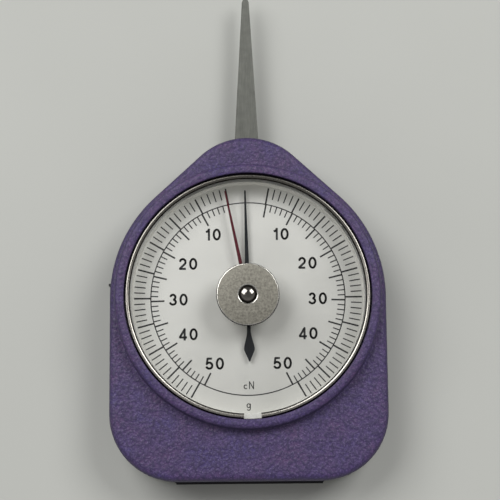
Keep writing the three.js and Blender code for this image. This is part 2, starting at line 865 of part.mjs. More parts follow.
// Pointer pieces, about the dial axis
function pointerHub() {
  const bore = pivotRadius + pressGap;
  const neck = bore + hubNeckWall;
  return turned(
    [
      [bore, pointerHubBottom],
      [pointerHubRadius, pointerHubBottom],
      [pointerHubRadius, pointerHandBottom],
      [neck, pointerHandBottom],
      [neck, pointerHubTop],
      [bore, pointerHubTop],
    ],
    smallSegments,
  );
}

// A hand points along +Y: a ring round the hub's neck, a tapering blade and any tail
function hand(outlineRight, ringRadius, bore, bottom, top) {
  const left = outlineRight.toReversed().map((p) => new THREE.Vector2(-p.x, p.y));
  const blade = extruded([...outlineRight, ...left], bottom, top);
  const ring = disc(ringRadius, bottom, top, smallSegments);
  return cut(join([blade, ring]), [disc(bore, bottom - overrun, top + overrun, smallSegments)]);
}

function pointerHand() {
  const right = [
    [spadeTipWidth / 2, -pointerTailReach],
    [spadeWidth / 2, -spadeMiddle],
    [tailNeckWidth / 2, -spadeStart],
    [pointerRootWidth / 2, 0],
    [pointerTipWidth / 2, pointerReach],
  ].map(([x, y]) => new THREE.Vector2(x, y));
  const bore = pivotRadius + hubNeckWall + 2 * pressGap;
  const plain = hand(right, pointerHubRadius, bore, pointerHandBottom, pointerHandTop);
  const place = { x: 0, y: pusherPinReach };
  const holeRadius = pusherPinRadius + pressGap;
  const pad = discAt(place, holeRadius + pusherPadWall, pointerHandBottom, pointerHandTop);
  const hole = discAt(place, holeRadius, pointerHandBottom - overrun, pointerHandTop + overrun);
  return cut(join([plain, pad]), [hole]).rotateZ(pointerTurn);
}

function pusherPin() {
  const place = { x: 0, y: pusherPinReach };
  const pin = discAt(place, pusherPinRadius, pointerHandBottom, dragHandBottom - pusherGap);
  return pin.rotateZ(pointerTurn);
}

function hairspringCollet() {
  const bore = pinionShaftRadius + pressGap;
  const outer = pinionShaftRadius + colletWall - pressGap;
  return washer(bore, outer, springBottom, springBottom + hairspringWidth, smallSegments);
}

// A flat spiral strip from the collet to its stud, which stands on the side away from the feeler
function hairspring() {
  const start = pinionShaftRadius + colletWall + hairspringThickness;
  const steps = hairspringTurns * hairspringSteps;
  const edge = (offset) =>
    Array.from({ length: steps + 1 }, (_, i) => {
      const turns = i / hairspringSteps;
      return polar(start + hairspringPitch * turns + offset, 2 * Math.PI * turns - Math.PI / 2);
    });
  const outline = [...edge(hairspringThickness), ...edge(0).toReversed()];
  return extruded(outline, springBottom, springBottom + hairspringWidth);
}

// Drag hand pieces, about the dial axis
function dragHub() {
  const bore = dragArborRadius + pressGap;
  const neck = bore + hubNeckWall;
  const profile = [
    [bore, dragHubBottom],
    [neck, dragHubBottom],
    [neck, dragHandTop],
    [dragHubRadius, dragHandTop],
    [dragHubRadius, dragHubTop],
    [bore, dragHubTop],
  ];
  return turned(profile, smallSegments);
}

function dragHand() {
  const right = [
    [dragHandRootWidth / 2, 0],
    [dragHandTipWidth / 2, dragHandReach],
  ].map(([x, y]) => new THREE.Vector2(x, y));
  const bore = dragArborRadius + hubNeckWall + 2 * pressGap;
  return hand(right, dragHubRadius + hubNeckWall, bore, dragHandBottom, dragHandTop).rotateZ(dragTurn);
}

function dragArbor() {
  const dome = arc([0, 0], 1, 0, Math.PI / 2, domeSteps).map((p) => [
    p.x * domeRadius,
    domeSeat + domeRing + p.y * (domeHeight - domeRing),
  ]);
  const shank = [[0, dragHubBottom], [dragArborRadius, dragHubBottom], [dragArborRadius, domeSeat]];
  const head = [[domeRadius, domeSeat], ...dome.slice(0, -1), [0, domeSeat + domeHeight]];
  return turned([...shank, ...head], discSegments);
}

function resetKnob() {
  const inner = dragArborRadius + pressGap;
  const seat = domeRadius + domeRing;
  const recess = knobBottom + knobRecessDepth;
  const turnedBody = turned(
    [
      [inner, recess],
      [knobRecessRadius, recess],
      [knobRecessRadius, knobBottom],
      [knobRadius - knobChamfer, knobBottom],
      [knobRadius, knobBottom + knobChamfer],
      [knobRadius, knobTop - knobChamfer],
      [knobRadius - knobChamfer, knobTop],
      [seat, knobTop],
      [seat, domeSeat],
      [inner, domeSeat],
    ],
    knurlCount,
  );
  const ridges = Array.from({ length: 2 * knurlCount }, (_, i) =>
    polar(i % 2 ? knobRadius - knurlDepth : knobRadius, (Math.PI * i) / knurlCount),
  );
  return common(turnedBody, extruded(ridges, knobBottom - overrun, knobTop + overrun));
}

// Materials
const finishes = {
  purplePaint: { color: 0x5d4f7c, roughness: 0.6, metalness: 0 },
  blackCover: { color: 0x1b1b1d, roughness: 0.6, metalness: 0 },
  greySteel: { color: 0x7c7d79, roughness: 0.4, metalness: 1 },
  brightSteel: { color: 0xc9c9c6, roughness: 0.2, metalness: 1 },
  nickel: { color: 0x9a968c, roughness: 0.45, metalness: 1 },
  brass: { color: 0xb89b5a, roughness: 0.35, metalness: 1 },
  springSteel: { color: 0x5f6670, roughness: 0.3, metalness: 1 },
  dialSilver: { color: 0xc6c7c2, roughness: 0.5, metalness: 0.3 },
  clear: { color: 0xf2f5f5, roughness: 0.05, metalness: 0, transparent: true, opacity: 0.25 },
  blackHand: { color: 0x20242a, roughness: 0.4, metalness: 0.2 },
  redHand: { color: 0x7a2230, roughness: 0.4, metalness: 0.2 },
};

function piece(name, geometry, finish) {
  const mesh = new THREE.Mesh(geometry, new THREE.MeshStandardMaterial(finishes[finish]));
  mesh.name = name;
  return mesh;
}

function numbered(name, places, shapeAt, finish) {
  return places.map((place, i) => piece(`${name}_${i + 1}`, shapeAt(place), finish));
}

function group(meshes, x = 0, y = 0) {
  const whole = new THREE.Group();
  whole.add(...meshes);
  whole.position.set(x, y, 0);
  return whole;
}

function caseGroup() {
  return group([
    piece('front_housing', frontHousing(), 'purplePaint'),
    piece('rear_cover', rearCover(), 'blackCover'),
    ...numbered('rear_cover_screw', coverScrewPlaces, coverScrewAt, 'greySteel'),
    piece('dial_plate', dialPlate(), 'dialSilver'),
    piece('spacer_ring', spacerRing(), 'brightSteel'),
    piece('crystal', crystal(), 'clear'),
    piece('snap_ring', snapRing(), 'brightSteel'),
    piece('crystal_bush', crystalBush(), 'brass'),
    piece('crystal_bush_nut', bushNut(), 'brass'),
    piece('friction_washer', frictionWasher(), 'springSteel'),
  ]);
}

function movementGroup() {
  const { pointer, feeler } = arborPlaces;
  const [right, left] = stopPinPlaces;
  const studPlace = new THREE.Vector2(0, -studReach);
  const studTop = springBottom + hairspringWidth;
  return group([
    piece('movement_front_plate', frontPlate(), 'brass'),
    piece('movement_back_plate', backPlate(), 'brass'),
    ...numbered('front_plate_screw', plateScrewPlaces, plateScrewAt, 'greySteel'),
    ...numbered('pillar', pillarPlaces, pillar, 'brass'),
    ...numbered('pillar_screw', pillarPlaces, pillarScrewAt, 'greySteel'),
    piece('pointer_front_bush', bearingBush(pointer, frontPlateBottom, frontPlateTop), 'brass'),
    piece('pointer_rear_bush', bearingBush(pointer, backPlateBottom, backPlateTop), 'brass'),
    piece('feeler_front_bush', bearingBush(feeler, frontPlateBottom, frontPlateTop), 'brass'),
    piece('feeler_rear_bush', bearingBush(feeler, backPlateBottom, backPlateTop), 'brass'),
    piece('zero_post', post(zeroPostPlace, zeroPostRadius, springTop), 'greySteel'),
    piece('stop_pin_right', post(right, stopPinRadius, sectorTop), 'greySteel'),
    piece('stop_pin_left', post(left, stopPinRadius, sectorTop), 'greySteel'),
    piece('hairspring_stud', post(studPlace, studRadius, studTop), 'brass'),
  ]);
}

function springGroup(side) {
  const name = side > 0 ? 'right' : 'left';
  const whole = group(
    [
      piece(`leaf_spring_${name}`, leafSpring(), 'springSteel'),
      piece(`spring_block_${name}`, springBlock(side), 'brass'),
    ],
    side * springFoot.x,
    springFoot.y,
  );
  whole.rotation.z = side * springTurn;
  return whole;
}

function springScrewGroup() {
  const [right, left] = springScrewPlaces();
  const bite = springBlockRise / 2;
  return group([
    piece('spring_block_screw_right', smallScrewAt(right, bite), 'greySteel'),
    piece('spring_block_screw_left', smallScrewAt(left, bite), 'greySteel'),
  ]);
}

function feelerGroup() {
  const meshes = [
    piece('feeler_blade', feelerBlade(), 'greySteel'),
    piece('sector_gear', sectorGear(), 'brass'),
    piece('feeler_arbor', arborShaft(feelerArborRadius, frontPlateTop), 'greySteel'),
    piece('feeler_rivet_right', rivet(1), 'brass'),
    piece('feeler_rivet_left', rivet(-1), 'brass'),
    piece('drive_pin', drivePin(), 'greySteel'),
  ];
  return group(meshes, 0, pivotDistance);
}

function pointerGroup() {
  return group([
    piece('pinion_arbor', pinionArbor(), 'greySteel'),
    piece('pointer_hub', pointerHub(), 'brass'),
    piece('pointer_hand', pointerHand(), 'blackHand'),
    piece('pusher_pin', pusherPin(), 'greySteel'),
    piece('hairspring_collet', hairspringCollet(), 'brass'),
    piece('hairspring', hairspring(), 'springSteel'),
  ]);
}

function dragGroup() {
  return group([
    piece('reset_knob', resetKnob(), 'nickel'),
    piece('drag_arbor', dragArbor(), 'brightSteel'),
    piece('drag_hub', dragHub(), 'brass'),
    piece('drag_hand', dragHand(), 'redHand'),
  ]);
}

const gauge = new THREE.Group();
gauge.add(caseGroup(), movementGroup(), springGroup(1), springGroup(-1), springScrewGroup());
gauge.add(feelerGroup(), pointerGroup(), dragGroup());

export default gauge;
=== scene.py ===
import math

import bmesh
import bpy
import numpy as np
from mathutils import Matrix, Vector

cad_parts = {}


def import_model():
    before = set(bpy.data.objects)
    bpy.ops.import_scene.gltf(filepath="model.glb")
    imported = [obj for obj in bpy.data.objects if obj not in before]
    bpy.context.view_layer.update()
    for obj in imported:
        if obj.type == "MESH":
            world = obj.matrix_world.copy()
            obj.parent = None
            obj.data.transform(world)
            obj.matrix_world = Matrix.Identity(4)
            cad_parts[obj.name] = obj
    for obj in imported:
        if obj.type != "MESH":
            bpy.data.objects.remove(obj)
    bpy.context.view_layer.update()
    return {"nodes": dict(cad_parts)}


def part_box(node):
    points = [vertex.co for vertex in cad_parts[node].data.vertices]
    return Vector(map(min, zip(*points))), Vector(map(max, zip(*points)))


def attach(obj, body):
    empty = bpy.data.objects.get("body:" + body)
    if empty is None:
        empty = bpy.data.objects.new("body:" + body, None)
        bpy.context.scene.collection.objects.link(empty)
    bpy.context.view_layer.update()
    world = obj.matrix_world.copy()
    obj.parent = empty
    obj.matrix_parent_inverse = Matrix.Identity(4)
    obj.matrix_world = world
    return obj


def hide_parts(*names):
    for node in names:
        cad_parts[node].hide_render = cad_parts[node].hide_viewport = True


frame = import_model()
nodes = frame["nodes"]

MM = 0.001

# Sizes read from the frame, in millimetres


def low(node):
    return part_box(node)[0] / MM


def high(node):
    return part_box(node)[1] / MM


def middle(node):
    return (low(node) + high(node)) / 2


PIVOT_Y = (low("feeler_arbor").y + high("feeler_arbor").y) / 2
CRYSTAL_RADIUS = high("crystal").x
CRYSTAL_BOTTOM = low("crystal").z
CRYSTAL_TOP = high("crystal").z
DIAL_TOP = high("dial_plate").z
DIAL_SEAT = low("dial_plate").z
BODY_RADIUS = high("front_housing").x
NOSE_REACH = high("front_housing").y
BODY_DROP = -low("front_housing").y
BODY_BOTTOM = low("front_housing").z
COLLAR_TOP = high("front_housing").z
COVER_SIDE = high("rear_cover").x
COVER_LUG_SIDE = -low("rear_cover").x
COVER_FOOT = -low("rear_cover").y
KNOB_RADIUS = high("reset_knob").x
KNOB_BOTTOM = low("reset_knob").z
KNOB_TOP = high("reset_knob").z
DOME_TOP = high("drag_arbor").z

# Case sizes that no box gives
NOSE_RADIUS = 15.1
CORNER_RADIUS = 14.6
EDGE_FILLET = 1.4
CASE_WALL = 2.2
FRONT_WALL = 2
COLLAR_WALL = 2.1
COLLAR_OUTER_ROUND = 1
COLLAR_INNER_ROUND = 0.3
COLLAR_FOOT_ROUND = 0.3
COLLAR_RISE = 2.6
BORE_GAP = 0.2
LEDGE_WIDTH = 1.7
LEDGE_THICKNESS = 0.8
GROOVE_DEPTH = 0.5
GROOVE_HEIGHT = 1.3
COVER_CHAMFER = 0.3
COVER_SHOULDER_Y = 3.2
COVER_LUG_HEAD = 4.5
COVER_LUG_TIP = 0.4
COVER_TAB_HALF = 16.2
COVER_GAP = 0.01
BOSS_RADIUS = 2.2
NOSE_SLOT_HALF = 5.56
NOSE_SLOT_TOP = high("feeler_blade").z + 0.4

BORE_RADIUS = CRYSTAL_RADIUS + BORE_GAP
COLLAR_RADIUS = BORE_RADIUS + COLLAR_WALL
FRONT_FACE = COLLAR_TOP - COLLAR_RISE
LEDGE_RADIUS = BORE_RADIUS - LEDGE_WIDTH
LEDGE_BOTTOM = DIAL_SEAT - LEDGE_THICKNESS

# Steps of the fine meshes
ROUND_STEPS = 720
DIAL_STEPS = 360
DOME_STEPS = 128
HUB_STEPS = 96
BOSS_STEPS = 64
BORE_STEPS = 48
FLAT_RINGS = 10
FILLET_RINGS = 8
FOOT_STEPS = 4
LIP_STEPS = 6
CROWN_STEPS = 10
OUTLINE_DIRECTIONS = 5760

# Angles above which an edge stays sharp, in degrees
SMOOTH_ANGLE = 35
FINE_ANGLE = 20
BEVEL_ANGLE = 40

# Points nearer than WELD are joined, a bevel has BEVEL_SEGMENTS, and a cutter overruns what it cuts
WELD = 0.0004
BEVEL_SEGMENTS = 3
OVERRUN = 1


# Mesh helpers: every shape is given in millimetres
def make_object(name, verts, faces, smooth_angle=SMOOTH_ANGLE):
    mesh = bpy.data.meshes.new(name)
    mesh.from_pydata([Vector(v) * MM for v in verts], [], faces)
    mesh.validate()
    piece = bpy.data.objects.new(name, mesh)
    bpy.context.scene.collection.objects.link(piece)
    tidy_mesh(piece, smooth_angle)
    return piece


def tidy_mesh(piece, smooth_angle=SMOOTH_ANGLE):
    work = bmesh.new()
    work.from_mesh(piece.data)
    bmesh.ops.remove_doubles(work, verts=work.verts, dist=WELD * MM)
    bmesh.ops.recalc_face_normals(work, faces=work.faces)
    work.to_mesh(piece.data)
    work.free()
    piece.data.shade_smooth()
    piece.data.set_sharp_from_angle(angle=math.radians(smooth_angle))


def bow(cx, cy, rx, ry, start, end, steps):
    """Points of an ellipse about (cx, cy) between two angles in degrees."""
    angles = [math.radians(start + (end - start) * i / steps) for i in range(steps + 1)]
    return [(cx + rx * math.cos(a), cy + ry * math.sin(a)) for a in angles]


def arc(centre, radius, start, end, steps):
    return bow(*centre, radius, radius, start, end, steps)


def ring_faces(columns, rows, closed_rows):
    faces = []
    for row in range(rows if closed_rows else rows - 1):
        below = row * columns
        above = ((row + 1) % rows) * columns
        for i in range(columns):
            j = (i + 1) % columns
            faces.append((below + i, below + j, above + j, above + i))
    return faces


def lathe(name, profile, steps, closed=False, wave=None, smooth_angle=SMOOTH_ANGLE):
    """Turns a profile of (radius, height) about the dial axis. wave(angle, row) scales the radius."""
    verts = []
    for row, (radius, height) in enumerate(profile):
        for i in range(steps):
            angle = 2 * math.pi * i / steps
            reach = radius * (wave(angle, row) if wave else 1)
            verts.append((reach * math.cos(angle), reach * math.sin(angle), height))
    faces = ring_faces(steps, len(profile), closed)
    return make_object(name, verts, faces, smooth_angle)


def prism(name, outline, bottom, top, bevel=0.0, hole=0.0):
    """An outline of (x, y) points with height, softened edges and a round hole about the dial axis."""
    count = len(outline)
    verts = [(x, y, bottom) for x, y in outline] + [(x, y, top) for x, y in outline]
    faces = [tuple(range(count))[::-1], tuple(range(count, 2 * count))]
    faces += [(i, (i + 1) % count, count + (i + 1) % count, count + i) for i in range(count)]
    piece = make_object(name, verts, faces)
    if hole:
        under, over = bottom - OVERRUN, top + OVERRUN
        bore = [(0, under), (hole, under), (hole, over), (0, over)]
        subtract(piece, [lathe(name + "_bore", bore, BORE_STEPS)])
    if bevel:
        soften = piece.modifiers.new("soft_edges", "BEVEL")
        soften.width = bevel * MM
        soften.segments = BEVEL_SEGMENTS
        soften.limit_method = "ANGLE"
        soften.angle_limit = math.radians(BEVEL_ANGLE)
    return piece


def box_object(name, across, along, height):
    """A box between two values on each axis."""
    (x0, x1), (y0, y1) = across, along
    return prism(name, [(x0, y0), (x1, y0), (x1, y1), (x0, y1)], *height)


def subtract(piece, cutters):
    for cutter in cutters:
        modifier = piece.modifiers.new("cut", "BOOLEAN")
        modifier.operation = "DIFFERENCE"
        modifier.solver = "EXACT"
        modifier.object = cutter
    bpy.context.view_layer.update()
    evaluated = piece.evaluated_get(bpy.context.evaluated_depsgraph_get())
    cut_mesh = bpy.data.meshes.new_from_object(evaluated)
    piece.modifiers.clear()
    old = piece.data
    piece.data = cut_mesh
    bpy.data.meshes.remove(old)
    for cutter in cutters:
        bpy.data.objects.remove(cutter)
    tidy_mesh(piece)


def join_objects(name, parts):
    work = bmesh.new()
    for part in parts:
        work.from_mesh(part.data)
    mesh = bpy.data.meshes.new(name)
    work.to_mesh(mesh)
    work.free()
    for part in parts:
        bpy.data.objects.remove(part)
    whole = bpy.data.objects.new(name, mesh)
    bpy.context.scene.collection.objects.link(whole)
    mesh.shade_smooth()
    mesh.set_sharp_from_angle(angle=math.radians(SMOOTH_ANGLE))
    return whole


def move(piece, x=0.0, y=0.0, turn=0.0):
    """Moves a piece's mesh, so that its object stays at the origin."""
    piece.data.transform(Matrix.Translation((x * MM, y * MM, 0)) @ Matrix.Rotation(turn, 4, "Z"))
    return piece


# Screws of the rear cover
COVER_SCREWS = range(1, 5)
SCREW_HEAD = 1.9
SCREW_SHANK = 0.9
SCREW_ROOM = 0.08
SCREW_SINK = 1
SCREW_SLOT = (-0.3, 0.3)
SCREW_SLOT_DEPTH = 0.35
SCREW_EDGE_WIDTH = 0.1
SCREW_EDGE_RISE = 0.08
SCREW_POINT = 0.3
SCREW_FIRST_TURN = 25
SCREW_NEXT_TURN = 47

# The case outline as a support function: the hull of the body, nose and corner circles
CORNER_X = BODY_RADIUS - CORNER_RADIUS
CORNER_Y = CORNER_RADIUS - BODY_DROP
OUTLINE_CIRCLES = [
    (0, 0, BODY_RADIUS),
    (0, NOSE_REACH - NOSE_RADIUS, NOSE_RADIUS),
    (CORNER_X, CORNER_Y, CORNER_RADIUS),
    (-CORNER_X, CORNER_Y, CORNER_RADIUS),
]
normal_angles = np.linspace(0, 2 * np.pi, OUTLINE_DIRECTIONS, endpoint=False)
normals = np.stack([np.cos(normal_angles), np.sin(normal_angles)])
support = np.max([x * normals[0] + y * normals[1] + r for x, y, r in OUTLINE_CIRCLES], axis=0)


def outline_radius(angle, inset):
    """How far the outline, moved in by inset, lies from the dial axis in that direction."""
    facing = normals[0] * math.cos(angle) + normals[1] * math.sin(angle)
    least_facing = 0.05
    ahead = facing > least_facing
    return float(np.min((support[ahead] - inset) / facing[ahead]))


def depth_inside(x, y):
    return float(np.min(support - normals[0] * x - normals[1] * y))


def case_column(angle):
    """One radial section of the housing as (radius, height) points, round from the dial's ledge."""
    foot = COLLAR_RADIUS + COLLAR_FOOT_ROUND
    depth = min(EDGE_FILLET, depth_inside(foot * math.cos(angle), foot * math.sin(angle)))
    first = math.degrees(math.asin(1 - depth / EDGE_FILLET))
    fillet = arc((0, FRONT_FACE - EDGE_FILLET), EDGE_FILLET, 90 - first, 0, FILLET_RINGS)
    edge = [(outline_radius(angle, EDGE_FILLET - x), z) for x, z in fillet]
    start = edge[0]
    flat = [(foot + (start[0] - foot) * i / FLAT_RINGS, start[1]) for i in range(1, FLAT_RINGS)]
    foot_arc = arc((foot, start[1] + COLLAR_FOOT_ROUND), COLLAR_FOOT_ROUND, 180, 270, FOOT_STEPS)
    crown_centre = (COLLAR_RADIUS - COLLAR_OUTER_ROUND, COLLAR_TOP - COLLAR_OUTER_ROUND)
    lip_centre = (BORE_RADIUS + COLLAR_INNER_ROUND, COLLAR_TOP - COLLAR_INNER_ROUND)
    groove = BORE_RADIUS + GROOVE_DEPTH
    inside = outline_radius(angle, CASE_WALL)
    outside = outline_radius(angle, 0)
    ceiling = FRONT_FACE - FRONT_WALL
    return [
        (LEDGE_RADIUS, LEDGE_BOTTOM),
        (LEDGE_RADIUS, DIAL_SEAT),
        (BORE_RADIUS, DIAL_SEAT),
        (BORE_RADIUS, CRYSTAL_TOP),
        (groove, CRYSTAL_TOP),
        (groove, CRYSTAL_TOP + GROOVE_HEIGHT),
        (BORE_RADIUS, CRYSTAL_TOP + GROOVE_HEIGHT),
        *arc(lip_centre, COLLAR_INNER_ROUND, 180, 90, LIP_STEPS),
        *arc(crown_centre, COLLAR_OUTER_ROUND, 90, 0, CROWN_STEPS),
        *foot_arc,
        *flat,
        *edge,
        (outside, (FRONT_FACE + BODY_BOTTOM) / 2),
        (outside, BODY_BOTTOM),
        (inside, BODY_BOTTOM),
        (inside, ceiling),
        (COLLAR_RADIUS, ceiling),
        (COLLAR_RADIUS, LEDGE_BOTTOM),
    ]


def housing():
    angles = [2 * math.pi * i / ROUND_STEPS for i in range(ROUND_STEPS)]
    columns = [case_column(angle) for angle in angles]
    rows = len(columns[0])
    verts = [
        (column[row][0] * math.cos(a), column[row][0] * math.sin(a), column[row][1])
        for row in range(rows)
        for a, column in zip(angles, columns)
    ]
    body = make_object("case_shell", verts, ring_faces(ROUND_STEPS, rows, True))
    inside = NOSE_REACH - 2 * CASE_WALL
    slot_across = (-NOSE_SLOT_HALF, NOSE_SLOT_HALF)
    slot_along = (inside, NOSE_REACH + OVERRUN)
    slot_height = (BODY_BOTTOM - OVERRUN, NOSE_SLOT_TOP)
    subtract(body, [box_object("slot", slot_across, slot_along, slot_height)])
    bosses = []
    for number in COVER_SCREWS:
        screw = middle(f"rear_cover_screw_{number}")
        top = LEDGE_BOTTOM + LEDGE_THICKNESS / 2 if screw.y > 0 else FRONT_FACE - FRONT_WALL / 2
        foot = BODY_BOTTOM + COVER_GAP
        section = [(0, foot), (BOSS_RADIUS, foot), (BOSS_RADIUS, top), (0, top)]
        bosses.append(move(lathe(f"boss_{number}", section, BORE_STEPS), screw.x, screw.y))
    return join_objects("painted_housing", [body, *bosses])


def box_exit(angle, half, foot, head):
    """How far a box about the dial axis reaches in that direction."""
    tiny = 1e-9
    sine = math.sin(angle)
    across = half / max(abs(math.cos(angle)), tiny)
    along = (head if sine > 0 else foot) / (sine if abs(sine) > tiny else tiny)
    return min(across, abs(along))


def cover_radius(angle, inset):
    side = box_exit(angle, COVER_SIDE - inset, CORNER_Y + inset, COVER_SHOULDER_Y - inset)
    tab = box_exit(angle, COVER_TAB_HALF - inset, inset - COVER_FOOT, COVER_SHOULDER_Y)
    return max(outline_radius(angle, inset), side, tab)


def cover():
    """The rear cover: the case outline with its side flanges and its tab at the foot."""
    corners = [(COVER_SIDE, COVER_SHOULDER_Y), (COVER_SIDE, CORNER_Y), (COVER_TAB_HALF, -COVER_FOOT)]
    angles = [2 * math.pi * i / ROUND_STEPS for i in range(ROUND_STEPS)]
    for x, y in corners:
        angles += [math.atan2(y, x) % (2 * math.pi), math.atan2(y, -x) % (2 * math.pi)]
    angles.sort()
    verts = []
    for inset, z in ((COVER_CHAMFER, 0), (0, COVER_CHAMFER), (0, BODY_BOTTOM - COVER_GAP)):
        for a in angles:
            reach = cover_radius(a, inset)
            verts.append((reach * math.cos(a), reach * math.sin(a), z))
    count = len(angles)
    faces = ring_faces(count, 3, False)
    faces += [tuple(range(count))[::-1], tuple(range(2 * count, 3 * count))]
    whole = make_object("cover_plate", verts, faces, FINE_ANGLE)
    holes = []
    for number in COVER_SCREWS:
        screw = middle(f"rear_cover_screw_{number}")
        head, shank = SCREW_HEAD + SCREW_ROOM, SCREW_SHANK + SCREW_ROOM
        under, over = -OVERRUN, BODY_BOTTOM + OVERRUN
        cone = [(0, under), (head, under), (head, 0), (shank, SCREW_SINK), (shank, over), (0, over)]
        holes.append(move(lathe(f"hole_{number}", cone, BORE_STEPS), screw.x, screw.y))
    subtract(whole, holes)
    lug_outline = [
        (CASE_WALL - BODY_RADIUS, COVER_SHOULDER_Y),
        (CASE_WALL - BODY_RADIUS, COVER_LUG_HEAD),
        (-COVER_LUG_SIDE, COVER_LUG_HEAD),
        (-COVER_LUG_SIDE, COVER_LUG_HEAD - COVER_LUG_TIP),
        (-COVER_SIDE, COVER_SHOULDER_Y),
    ]
    lug = prism("cover_lug", lug_outline, COVER_CHAMFER, BODY_BOTTOM - 2 * COVER_GAP)
    return join_objects("rear_plate", [whole, lug])


def cover_screw(number):
    node = f"rear_cover_screw_{number}"
    place = middle(node)
    end = high(node).z
    profile = [
        (0, 0),
        (SCREW_HEAD - SCREW_EDGE_WIDTH, 0),
        (SCREW_HEAD, SCREW_EDGE_RISE),
        (SCREW_SHANK, SCREW_SINK),
        (SCREW_SHANK, end - SCREW_POINT),
        (SCREW_SHANK - SCREW_POINT, end),
        (0, end),
    ]
    screw = lathe(f"cover_screw_{number}", profile, BOSS_STEPS)
    reach = SCREW_HEAD + OVERRUN
    groove = box_object("groove", (-reach, reach), SCREW_SLOT, (-OVERRUN, SCREW_SLOT_DEPTH))
    move(groove, turn=math.radians(SCREW_FIRST_TURN + SCREW_NEXT_TURN * number))
    subtract(screw, [groove])
    return move(screw, place.x, place.y)


# Materials
class Shader:
    """A material of nodes with one Principled shader and object coordinates in millimetres."""

    def __init__(self, name, roughness=0.5, metallic=0.0, specular=0.5):
        self.material = bpy.data.materials.new(name)
        self.material.use_nodes = True
        self.tree = self.material.node_tree
        self.tree.nodes.clear()
        self.output = self.add("ShaderNodeOutputMaterial")
        self.shader = self.add("ShaderNodeBsdfPrincipled")
        self.shader.inputs["Roughness"].default_value = roughness
        self.shader.inputs["Metallic"].default_value = metallic
        self.shader.inputs["Specular IOR Level"].default_value = specular
        self.link(self.shader.outputs["BSDF"], self.output.inputs["Surface"])
        coordinates = self.add("ShaderNodeTexCoord")
        scaled = self.add("ShaderNodeVectorMath", operation="SCALE")
        scaled.inputs["Scale"].default_value = 1 / MM
        self.link(coordinates.outputs["Object"], scaled.inputs[0])
        self.place = scaled.outputs[0]

    def add(self, kind, **settings):
        node = self.tree.nodes.new(kind)
        for key, value in settings.items():
            setattr(node, key, value)
        return node

    def link(self, start, end):
        self.tree.links.new(start, end)

    def stretched(self, x, y, z):
        node = self.add("ShaderNodeVectorMath", operation="MULTIPLY")
        node.inputs[1].default_value = (x, y, z)
        self.link(self.place, node.inputs[0])
        return node.outputs[0]

    def noise(self, scale, detail=2.0, roughness=0.5, place=None):
        node = self.add("ShaderNodeTexNoise")
        node.inputs["Scale"].default_value = scale
        node.inputs["Detail"].default_value = detail
        node.inputs["Roughness"].default_value = roughness
        self.link(place or self.place, node.inputs["Vector"])
        return node.outputs["Fac"]

    def remap(self, value, low_in, high_in, low_out, high_out):
        node = self.add("ShaderNodeMapRange")
        node.inputs["From Min"].default_value = low_in
        node.inputs["From Max"].default_value = high_in
        node.inputs["To Min"].default_value = low_out
        node.inputs["To Max"].default_value = high_out
        self.link(value, node.inputs["Value"])
        return node.outputs["Result"]

    def split(self, vector):
        node = self.add("ShaderNodeSeparateXYZ")
        self.link(vector, node.inputs[0])
        return node.outputs

    def radius(self):
        """Distance from the dial axis in millimetres."""
        x, y, _ = self.split(self.place)
        squares = self.math("ADD", self.math("POWER", x, 2), self.math("POWER", y, 2))
        return self.math("SQRT", squares, 0)

    def steepness(self, level=0.85, upright=0.3):
        """0 on faces whose upward share is above level, 1 on those under upright."""
        geometry = self.add("ShaderNodeNewGeometry")
        return self.remap(self.split(geometry.outputs["Normal"])[2], level, upright, 0, 1)

    def math(self, operation, first, second):
        node = self.add("ShaderNodeMath", operation=operation)
        for socket, value in zip(node.inputs, (first, second)):
            if isinstance(value, (int, float)):
                socket.default_value = value
            else:
                self.link(value, socket)
        return node.outputs[0]

    def mix(self, share, first, second):
        node = self.add("ShaderNodeMix", data_type="RGBA")
        self.link(share, node.inputs["Factor"])
        for name, value in (("A", first), ("B", second)):
            socket = [s for s in node.inputs if s.name == name and s.type == "RGBA"][0]
            if isinstance(value, tuple):
                socket.default_value = value
            else:
                self.link(value, socket)
        return [s for s in node.outputs if s.type == "RGBA"][0]

    def shade(self, pattern, start, end, first, last):
        """Mixes two colours of 0 to 255 steps, the first at the pattern's start, the last at its end."""
        share = self.remap(pattern, start, end, 0, 1)
        return self.mix(share, paint_value(*first), paint_value(*last))

    def colour(self, value):
        self.link(value, self.shader.inputs["Base Color"])

    def roughness(self, value):
        self.link(value, self.shader.inputs["Roughness"])

    def bump(self, height, distance, strength):
        """Relief from a pattern, with its depth in millimetres."""
        node = self.add("ShaderNodeBump")
        node.inputs["Strength"].default_value = strength
        node.inputs["Distance"].default_value = distance * MM
        self.link(height, node.inputs["Height"])
        self.link(node.outputs["Normal"], self.shader.inputs["Normal"])


def paint_value(red, green, blue):
    """A colour written in the usual 0 to 255 steps, as the linear numbers that shaders take."""
    shares = (red / 255, green / 255, blue / 255)
    linear = [c / 12.92 if c <= 0.04045 else ((c + 0.055) / 1.055) ** 2.4 for c in shares]
    return (*linear, 1.0)


SCRATCH_DEPTH = 0.004


